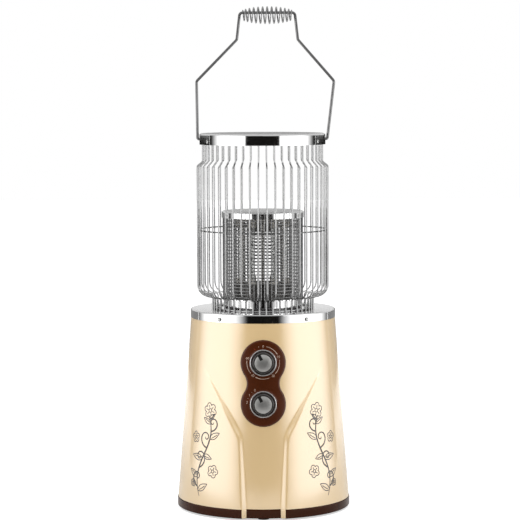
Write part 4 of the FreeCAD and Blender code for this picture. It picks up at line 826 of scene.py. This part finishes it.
@dataclass
class DialMarks:
    """Printed scales round the two knobs; angles run clockwise from the top, in degrees."""

    panel: ControlPanel
    radius: float = 28.8  # of the print round the knob
    figure: float = 3.8  # height of a figure
    figure_step: float = 0.78  # share of that height from one figure to the next
    figure_middle: float = 0.3  # share of it from a figure's edge to its middle
    line: float = 0.42  # width of a thin line
    wedge: float = 0.95  # width at the wide end of a growing arc
    dash_lengths: Triple = (2.6, 1.8, 3.4)  # on the minute scale, between positions, in red

    def polar(self, lobe: int, angle: Array | float, radius: Array | float) -> Array:
        """Places on the cover at clockwise angles and radii round a knob."""
        turn = np.radians(angle)
        return coords(radius * np.sin(turn), lobe * self.panel.lobe_rise + radius * np.cos(turn))

    def figures(self, ribbons: Ribbons, lobe: int, angle: float, text: str) -> None:
        """Draws upright figures centred at an angle.

        Args:
            ribbons: Lines that they are added to.
            lobe: 1 for the upper knob, -1 for the lower.
            angle: Place on the scale.
            text: The figures.
        """
        pitch = self.figure_step * self.figure
        half = 0.5 * pitch * (len(text) - 1) + self.figure_middle * self.figure
        start = self.polar(lobe, angle, self.radius) - np.array([half, 0.5 * self.figure])
        for place, letter in enumerate(text):
            for stroke in NUMERALS[letter]:
                ribbons.draw(start + np.array([pitch * place, 0.0]) + stroke * self.figure, self.line)

    def sweep(self, ribbons: Ribbons, lobe: int, start: float, end: float) -> None:
        """Draws an arc that grows wider clockwise."""
        angle = np.linspace(start, end, SWEEP_POINTS)
        ribbons.draw(self.polar(lobe, angle, self.radius), np.linspace(self.line, self.wedge, SWEEP_POINTS))

    def dash(self, ribbons: Ribbons, lobe: int, angle: float, length: float) -> None:
        """Draws a short line that points at the knob."""
        reach = np.array([self.radius - 0.5 * length, self.radius + 0.5 * length])
        ribbons.draw(self.polar(lobe, np.full(2, angle), reach), self.line)

    def build(self) -> None:
        """Draws the minute scale, the switch positions and the red line."""
        upper, lower = 1, -1
        minute_dash, position_dash, red_dash = self.dash_lengths
        pale = Ribbons(self.panel.surface)
        for angle, text in MINUTES:
            self.figures(pale, upper, angle, text)
        for start, end in MINUTE_SWEEPS:
            self.sweep(pale, upper, start, end)
        self.dash(pale, upper, MINUTE_DASH, minute_dash)
        for angle, text in POSITIONS:
            self.figures(pale, lower, angle, text)
        for angle in POSITION_DASHES:
            self.dash(pale, lower, angle, position_dash)
        pale.piece("dial_marks", "pale_ink")
        red = Ribbons(self.panel.surface)
        self.dash(red, upper, RED_DASH, red_dash)
        red.piece("dial_red_mark", "red_ink")


STEM_END = 0.86
CURLS = ((0.10, 20, 29, 1), (0.30, 160, 33, -1), (0.52, 15, 31, 1), (0.70, 170, 26, -1))
CURL_POINTS = 70
LEAVES = (
    (0.06, 150, 26, 5.5), (0.20, 30, 24, 5.0), (0.40, 10, 27, 5.5), (0.44, 195, 20, 4.5),
    (0.62, 150, 24, 5.0), (0.78, 30, 20, 4.2), (0.83, 140, 15, 3.4),
)
TOP_BLOSSOM_SHIFT = np.array([-2.0, 10.0])
TOP_BLOSSOM = (14.0, 6, 15)
BLOSSOMS = (((-23.0, 47.0), 11.5, 5, 40), ((24.0, 104.0), 10.0, 5, 10), ((26.0, 22.0), 7.0, 5, 25))


@dataclass
class FlowerPrint:
    """A plain flower scroll printed on both side fields, in its own flat coordinates."""

    form: BodyForm
    azimuth: float = 45.5  # angle of the field's middle from the front
    foot: float = 36.0  # height of its lower end
    height: float = 168.0
    line: float = 1.5  # width
    swing: float = 15.0  # reach of the stem to both sides
    half_waves: float = 1.9  # of the stem
    curl_half_turns: float = 2.9

    def stem(self, share: Array) -> Array:
        """Points of the S-shaped stem: a sine across, even steps up."""
        return coords(self.swing * np.sin(self.half_waves * math.pi * share + 0.5), self.height * share)

    def tendril(self, start: Array, heading: float, size: float, way: int) -> Array:
        """A curl that leaves the stem and winds in: its steps shorten evenly as the heading turns.

        Args:
            start: Where it leaves the stem.
            heading: First direction in degrees.
            size: Rough length.
            way: 1 to wind to the left, -1 to the right.

        Returns:
            Points of the curl.
        """
        share = np.linspace(0.0, 1.0, CURL_POINTS)
        turned = np.radians(heading) + way * self.curl_half_turns * math.pi * share**1.25
        step = size * (1.02 - share) * 0.058
        walk = np.cumsum(coords(step * np.cos(turned), step * np.sin(turned)), axis=0)
        return start + walk - walk[0]

    def leaf(self, start: Array, heading: float, length: float, bulge: float) -> list[Array]:
        """Two edges that bow out as a sine, and a rib between them.

        Args:
            start: Foot of the leaf.
            heading: Its direction in degrees.
            length: Its length.
            bulge: How far an edge bows out.

        Returns:
            Both edges and the rib.
        """
        share = np.linspace(0.0, 1.0, 26)
        ahead = np.array([math.cos(math.radians(heading)), math.sin(math.radians(heading))])
        along = length * share[:, None] * ahead
        aside = np.array([-ahead[1], ahead[0]])
        bow = (bulge * np.sin(math.pi * share**0.8))[:, None] * aside
        return [start + along + bow, start + along - bow, start + along[4:20] + 0.2 * bow[4:20]]

    def blossom(self, centre: Array, radius: float, petals: int, turn: float) -> list[Array]:
        """Round petals, r = radius (0.66 + 0.34 |cos|^0.7), with an eye and short rays.

        Args:
            centre: Middle of the blossom.
            radius: Reach of the petals.
            petals: Number of petals.
            turn: Direction of the first petal in degrees.

        Returns:
            The outline, the eye and the rays.
        """
        angle = np.linspace(0.0, TURN, 30 * petals + 1)
        edge = radius * (0.66 + 0.34 * np.abs(np.cos(0.5 * petals * angle)) ** 0.7)
        spin = angle + math.radians(turn)
        lines = [centre + coords(edge * np.cos(spin), edge * np.sin(spin))]
        lines.append(centre + arc((0.0, 0.0), (0.24 * radius, 0.24 * radius), 0.0, 360.0))
        for petal in range(petals):
            way = TURN * petal / petals + math.radians(turn)
            reach = np.linspace(0.34, 0.7, 6)[:, None] * radius
            lines.append(centre + reach * np.array([math.cos(way), math.sin(way)]))
        return lines

    def strokes(self) -> list[tuple[Array, float | Array]]:
        """Draws the scroll with the foot of the stem at the origin.

        Returns:
            All lines with their widths.
        """
        share = np.linspace(0.0, STEM_END, 90)
        lines = [(self.stem(share), self.line * (0.8 + 1.3 * np.sin(3.4 * share)))]
        for share, heading, size, way in CURLS:
            curl = self.tendril(self.stem(np.asarray(share)), heading, size, way)
            lines.append((curl, self.line * np.linspace(1.9, 0.9, CURL_POINTS)))
        edges: list[Array] = []
        for share, heading, length, bulge in LEAVES:
            edges += self.leaf(self.stem(np.asarray(share)), heading, length, bulge)
        edges += self.blossom(self.stem(np.asarray(STEM_END)) + TOP_BLOSSOM_SHIFT, *TOP_BLOSSOM)
        for place, radius, petals, turn in BLOSSOMS:
            edges += self.blossom(np.array(place), radius, petals, turn)
        return lines + [(edge, self.line) for edge in edges]

    def surface(self, side: Side, x: Array, rise: Array, lift: float) -> Array:
        """Points of the body at places across a side field and up its slope."""
        z = self.foot + rise * math.cos(self.form.lean)
        return self.form.point(side.value * (math.radians(self.azimuth) + x / self.form.radius(z)), z, lift)

    def build(self) -> None:
        """Prints the scroll on both side fields, mirrored."""
        for side in Side:
            ribbons = Ribbons(partial(self.surface, side))
            for line, width in self.strokes():
                ribbons.draw(line, width)
            ribbons.piece(f"flower_print_{side.name.lower()}", "print_ink")


# Heating head and grip


@dataclass
class MeshGuard:
    """The fine guard: uprights and hoops that pass in turn over and under each other."""

    radius: float = 71.95  # middle radius of the weave
    upright_count: int = 72
    hoop_count: int = 24
    wire: float = 0.95  # radius
    wave: float = 0.15  # half height of the weave

    def build(self) -> None:
        """Makes both sets of wires; each rides out where the other set rides in."""
        low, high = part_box("guard_wires")
        bottom, top = low.z / MM, high.z / MM
        hoops_low, hoops_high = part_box("guard_hoops")
        first = hoops_low.z / MM + self.wire
        last = hoops_high.z / MM - self.wire
        pitch = (last - first) / (self.hoop_count - 1)
        z = np.concatenate([[bottom], np.arange(first, last + 0.1 * pitch, 0.5 * pitch), [top]])
        angle = TURN * (np.arange(self.upright_count) + 0.5) / self.upright_count
        phase = math.pi * ((z - first) / pitch) + math.pi * np.arange(self.upright_count)[:, None]
        r = self.radius + self.wave * np.cos(phase)
        outward = around(1.0, angle, 0.0)[:, None]
        paths = r[..., None] * outward + z[:, None] * UPWARD
        uprights = Mesh.tubes(paths, self.wire, THIN_WIRE_SIDES, outward)
        turn = np.linspace(0.0, TURN, 2 * self.upright_count, endpoint=False)
        rows = np.arange(self.hoop_count)[:, None]
        r = self.radius + self.wave * np.sin(0.5 * self.upright_count * turn + math.pi * rows)
        paths = around(r, turn, first + pitch * rows)
        hoops = Mesh.tubes(paths, self.wire, THIN_WIRE_SIDES, UPWARD, closed=True)
        uprights.piece("guard_upright_weave", "mesh_wire", Slot.CHROME, stands_for=["guard_wires"])
        hoops.piece("guard_hoop_weave", "mesh_wire", Slot.CHROME, stands_for=["guard_hoops"])


@dataclass
class HeatingCoils:
    """The wound element in each quartz tube."""

    count: int = 6  # of tubes
    circle: float = 40.0  # radius of the circle that the tubes stand on
    first_angle: float = 30.0
    coil: float = 3.3  # radius of the winding
    wire: float = 0.6  # radius
    pitch: float = 3.0  # rise of one turn
    turn_points: int = 14

    def build(self) -> None:
        """Winds a helix about the middle of each tube."""
        low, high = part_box("heater_cores")
        bottom, top = low.z / MM + self.wire, high.z / MM - self.wire
        turns = (top - bottom) / self.pitch
        share = np.linspace(0.0, 1.0, int(self.turn_points * turns))
        winding = TURN * turns * share
        rise = bottom + (top - bottom) * share
        helix = coords(self.coil * np.cos(winding), self.coil * np.sin(winding), rise)
        stand = np.radians(self.first_angle) + TURN * np.arange(self.count) / self.count
        places = self.circle * coords(np.cos(stand), np.sin(stand), 0.0)
        coils = Mesh.tubes(places[:, None] + helix, self.wire, THIN_WIRE_SIDES, UPWARD)
        coils.piece("heating_coils", "core_metal", Slot.CORE, stands_for=["heater_cores"])


@dataclass
class GripSpring:
    """The barrel-shaped coil that turns on the bail's crown."""

    turns: int = 12
    span: float = 88.0  # length along the bar
    middle_radius: float = 15.1  # radius of the coil's centre line in the middle
    end_radius: float = 8.6  # the same at both ends
    wire: float = 1.25  # radius
    crowding: float = 0.11  # share by which the turns crowd together towards the ends
    turn_points: int = 40

    def build(self) -> None:
        """Winds the coil: x = span ((1 + c) u - 16 c u^5), radius = middle - fall (2 u)^2."""
        low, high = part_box("grip_spring")
        centre_x = 0.5 * (low.x + high.x) / MM
        axis_z = high.z / MM - self.middle_radius - self.wire
        u = np.linspace(-0.5, 0.5, self.turn_points * self.turns + 1)
        radius = self.middle_radius - (self.middle_radius - self.end_radius) * (2.0 * u) ** 2
        x = centre_x + self.span * ((1.0 + self.crowding) * u - 16.0 * self.crowding * u**5)
        angle = TURN * self.turns * u
        path = coords(x, radius * np.sin(angle), axis_z + radius * np.cos(angle))
        coil = Mesh.tubes(path[None], self.wire, GRIP_WIRE_SIDES, CROSSWISE)
        coil.piece("grip_coil", "grip_wire", Slot.CHROME, body=GRIP, stands_for=["grip_spring"])


# Studio


def stage_plane(
    name: str, centre: Sequence[float], across: Sequence[float], up: Sequence[float]
) -> bpy.types.Object:
    """A rectangle that belongs to the stage: centre +- across +- up.

    Args:
        name: Name of the rectangle.
        centre: Its middle in metres.
        across: From the middle to the middle of one side.
        up: From the middle to the middle of the next side.

    Returns:
        The new object.
    """
    middle, right, rise = Vector(centre), Vector(across), Vector(up)
    corners = [middle - right - rise, middle + right - rise, middle + right + rise, middle - right + rise]
    mesh = bpy.data.meshes.new(name)
    mesh.from_pydata([tuple(corner) for corner in corners], [], [(0, 1, 2, 3)])
    mesh.uv_layers.new().data.foreach_set("uv", (0, 0, 1, 0, 1, 1, 0, 1))
    card = bpy.data.objects.new(name, mesh)
    bpy.context.scene.collection.objects.link(card)
    return card


@dataclass(frozen=True)
class Card:
    """A card that only reflections see: dark, or bright with soft edges."""

    name: str
    edges: Pair  # angles of its two edges from the camera's side, in degrees towards +X
    distance: float  # distance of its middle from the axis, in metres
    heights: Pair  # lower and upper edge over the floor
    glow: float = 0.0  # brightness of a bright card
    profile: Sequence[Pair] = ()  # places across it, share of the glow there
    side: Side = Side.RIGHT

    def build(self) -> None:
        """Stands the card up and hides it from all but reflections."""
        first, last = (self.side.value * math.radians(edge) for edge in self.edges)
        turn = 0.5 * (first + last)
        half = self.distance * math.tan(0.5 * (last - first))
        low, high = self.heights
        centre = (self.distance * math.sin(turn), -self.distance * math.cos(turn), 0.5 * (low + high))
        aside = (half * math.cos(turn), half * math.sin(turn), 0.0)
        card = stage_plane(self.name, centre, aside, (0.0, 0.0, 0.5 * (high - low)))
        sheet = NodeSheet(self.name)
        sheet.feed("Base Color", sheet.ramp(sheet.noise(2.0, 2.0), *CARD_COLOURS))
        sheet.hold(Roughness=1.0, Specular_IOR_Level=0.0, Emission_Strength=self.glow)
        if self.profile:
            across = sheet.add("ShaderNodeTexCoord").outputs["UV"]
            place = sheet.add("ShaderNodeSeparateXYZ", across)
            fall = sheet.add("ShaderNodeValToRGB", place.outputs[0])
            fall.color_ramp.interpolation = "EASE"
            stops = fall.color_ramp.elements
            stops.remove(stops[1])
            for position, level in self.profile:
                stop = stops[0] if position == 0.0 else stops.new(position)
                stop.color = (level, level, level, 1.0)
            sheet.feed("Emission Color", fall.outputs[0])
        card.data.materials.append(sheet.material)
        for ray in ("camera", "diffuse", "transmission", "shadow"):
            setattr(card, f"visible_{ray}", False)


@dataclass(frozen=True)
class Softbox:
    """A square area light that looks at the middle of the heater."""

    name: str
    place: Triple  # where it stands, in metres
    size: float
    power: float  # watts
    aim: Triple = (0.0, 0.0, 0.45)
    side: Side = Side.RIGHT

    def build(self) -> None:
        """Hangs the light up, unseen by the camera and by reflections."""
        data = bpy.data.lights.new(self.name, "AREA")
        data.shape = "SQUARE"
        data.size = self.size
        data.energy = self.power
        light = bpy.data.objects.new(self.name, data)
        light.location = (self.side.value * self.place[0], *self.place[1:])
        light.rotation_euler = (Vector(self.aim) - light.location).to_track_quat("-Z", "Y").to_euler()
        light.visible_camera = False
        light.visible_glossy = False
        bpy.context.scene.collection.objects.link(light)


HARD_EDGE = ((0.0, 0.0), (0.07, 1.0), (0.45, 1.0), (0.95, 0.0))
SOFT_EDGE = ((0.0, 0.0), (0.38, 1.0), (0.6, 1.0), (1.0, 0.1))
HIGH_CARD_SPAN = (0.36, 0.98)
LOW_CARD_SPAN = (0.0, 0.4)
SIDE_PIECES: tuple[Card | Softbox, ...] = (
    Softbox("softbox", (0.8, -1.7, 1.5), 1.2, 16.5),
    Softbox("side_light", (1.5, 0.55, 1.3), 1.2, 16.0),
    Card("high_card", (29.0, 110.0), 1.9, HIGH_CARD_SPAN, 3.6, HARD_EDGE),
    Card("low_card", (22.0, 118.0), 0.75, LOW_CARD_SPAN, 2.6, SOFT_EDGE),
    Card("rear_card", (112.0, 176.0), 3.0, (0.45, 0.62)),
    Card("edge_card", (124.0, 172.0), 2.6, (0.0, 0.42), 0.35),
    Card("foot_card", (134.0, 178.0), 3.0, (0.0, 0.1)),
)
MIDDLE_PIECES: tuple[Card | Softbox, ...] = (
    Softbox("top_light", (0.0, -0.6, 2.6), 1.8, 15.0),
    Card("high_camera_card", (-29.0, 29.0), 2.0, HIGH_CARD_SPAN),
    Card("low_camera_card", (-22.0, 22.0), 0.8, LOW_CARD_SPAN),
    Card("strip_card", (160.0, 200.0), 3.0, (0.69, 0.8), 0.3),
)
WHITE = (1.0, 1.0, 1.0, 1.0)
CARD_COLOURS = ((0.01, 0.01, 0.01), (0.02, 0.018, 0.016))
FLOOR_COLOURS = ((0.70, 0.70, 0.70), (0.72, 0.72, 0.72))
FLOOR_GLOW = {"From_Min": 0.2, "From_Max": 0.8, "To_Min": 0.6, "To_Max": 0.9}
FAR_GLOW = {"From_Min": 0.6, "From_Max": 1.8}


@dataclass
class Studio:
    """Floor, soft light, cards that only reflections see, and the camera."""

    eye: Triple = (0.0, -4.0, 0.7615)  # camera place in metres
    pitch: float = 4.46  # downward tilt in degrees
    yaw: float = -0.059  # turn to the right in degrees
    roll: float = 0.19  # lean in degrees
    lens: float = 152.98
    sensor: float = 36.0
    fill: float = 0.32  # strength of the world's light where it is not seen

    def camera(self) -> None:
        """Places the camera as the photograph was taken."""
        data = bpy.data.cameras.new("camera")
        data.lens = self.lens
        data.sensor_width = self.sensor
        data.clip_end = 50.0
        camera = bpy.data.objects.new("camera", data)
        camera.location = self.eye
        turn = (math.radians(90.0 - self.pitch), math.radians(self.roll), math.radians(-self.yaw))
        camera.rotation_euler = Euler(turn)
        bpy.context.scene.collection.objects.link(camera)
        bpy.context.scene.camera = camera

    def world(self) -> None:
        """White to the eye, in mirrors and through glass; a weaker fill for everything else."""
        world = bpy.data.worlds.new("studio")
        world.use_nodes = True
        nodes = Nodes(world.node_tree)
        nodes.tree.nodes.clear()
        path = nodes.add("ShaderNodeLightPath").outputs
        seen = path["Is Camera Ray"]
        for kind in ("Is Glossy Ray", "Is Transmission Ray"):
            seen = nodes.maths("MAXIMUM", seen, path[kind])
        plain = nodes.add("ShaderNodeBackground", Color=WHITE, Strength=self.fill)
        white = nodes.add("ShaderNodeBackground", Color=WHITE)
        mix = nodes.add("ShaderNodeMixShader", seen, plain.outputs[0], white.outputs[0])
        nodes.add("ShaderNodeOutputWorld", Surface=mix.outputs[0])
        bpy.context.scene.world = world

    def floor(self) -> None:
        """A pale floor with the contact shadow; it glows for the eye, and far off in reflections."""
        floor = stage_plane("floor", (0.0, 2.0, 0.0), (9.0, 0.0, 0.0), (0.0, 9.0, 0.0))
        sheet = NodeSheet("floor")
        sheet.feed("Base Color", sheet.ramp(sheet.noise(3.0, 2.0), *FLOOR_COLOURS))
        sheet.hold(Roughness=0.9, Specular_IOR_Level=0.1, Emission_Color=WHITE)
        away = sheet.distance(sheet.place)
        level = sheet.spread(away, **FLOOR_GLOW)
        far = sheet.spread(away, **FAR_GLOW)
        path = sheet.add("ShaderNodeLightPath").outputs
        direct = sheet.maths("ADD", path["Is Camera Ray"], path["Is Transmission Ray"])
        seen = sheet.maths("MULTIPLY", direct, level)
        mirrored = sheet.maths("MULTIPLY", path["Is Glossy Ray"], far)
        sheet.feed("Emission Strength", sheet.maths("ADD", seen, mirrored))
        floor.data.materials.append(sheet.material)

    def build(self) -> None:
        """Sets the whole studio up."""
        bpy.context.scene.view_settings.view_transform = "Standard"
        self.camera()
        self.world()
        self.floor()
        for side in Side:
            for piece in SIDE_PIECES:
                replace(piece, name=f"{piece.name}_{side.name.lower()}", side=side).build()
        for piece in MIDDLE_PIECES:
            piece.build()


def main() -> None:
    """Dresses every node, builds the pieces in order and sets the studio up."""
    logging.basicConfig(level=logging.INFO, format="%(name)s: %(message)s")
    PALETTE.dress_nodes()
    form = BodyForm()
    bezels = [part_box("timer_bezel"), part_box("power_bezel")]
    knob_heights = [0.5 * (low.z + high.z) / MM for low, high in bezels]
    panel = ControlPanel(form, knob_heights)
    pieces = [
        BodyShell(form, knob_heights),
        BaseRing(form),
        panel,
        DialMarks(panel),
        FlowerPrint(form),
        MeshGuard(),
        HeatingCoils(),
        GripSpring(),
    ]
    for piece in pieces:
        piece.build()
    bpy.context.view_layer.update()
    Studio().build()


if __name__ == "__main__":
    main()
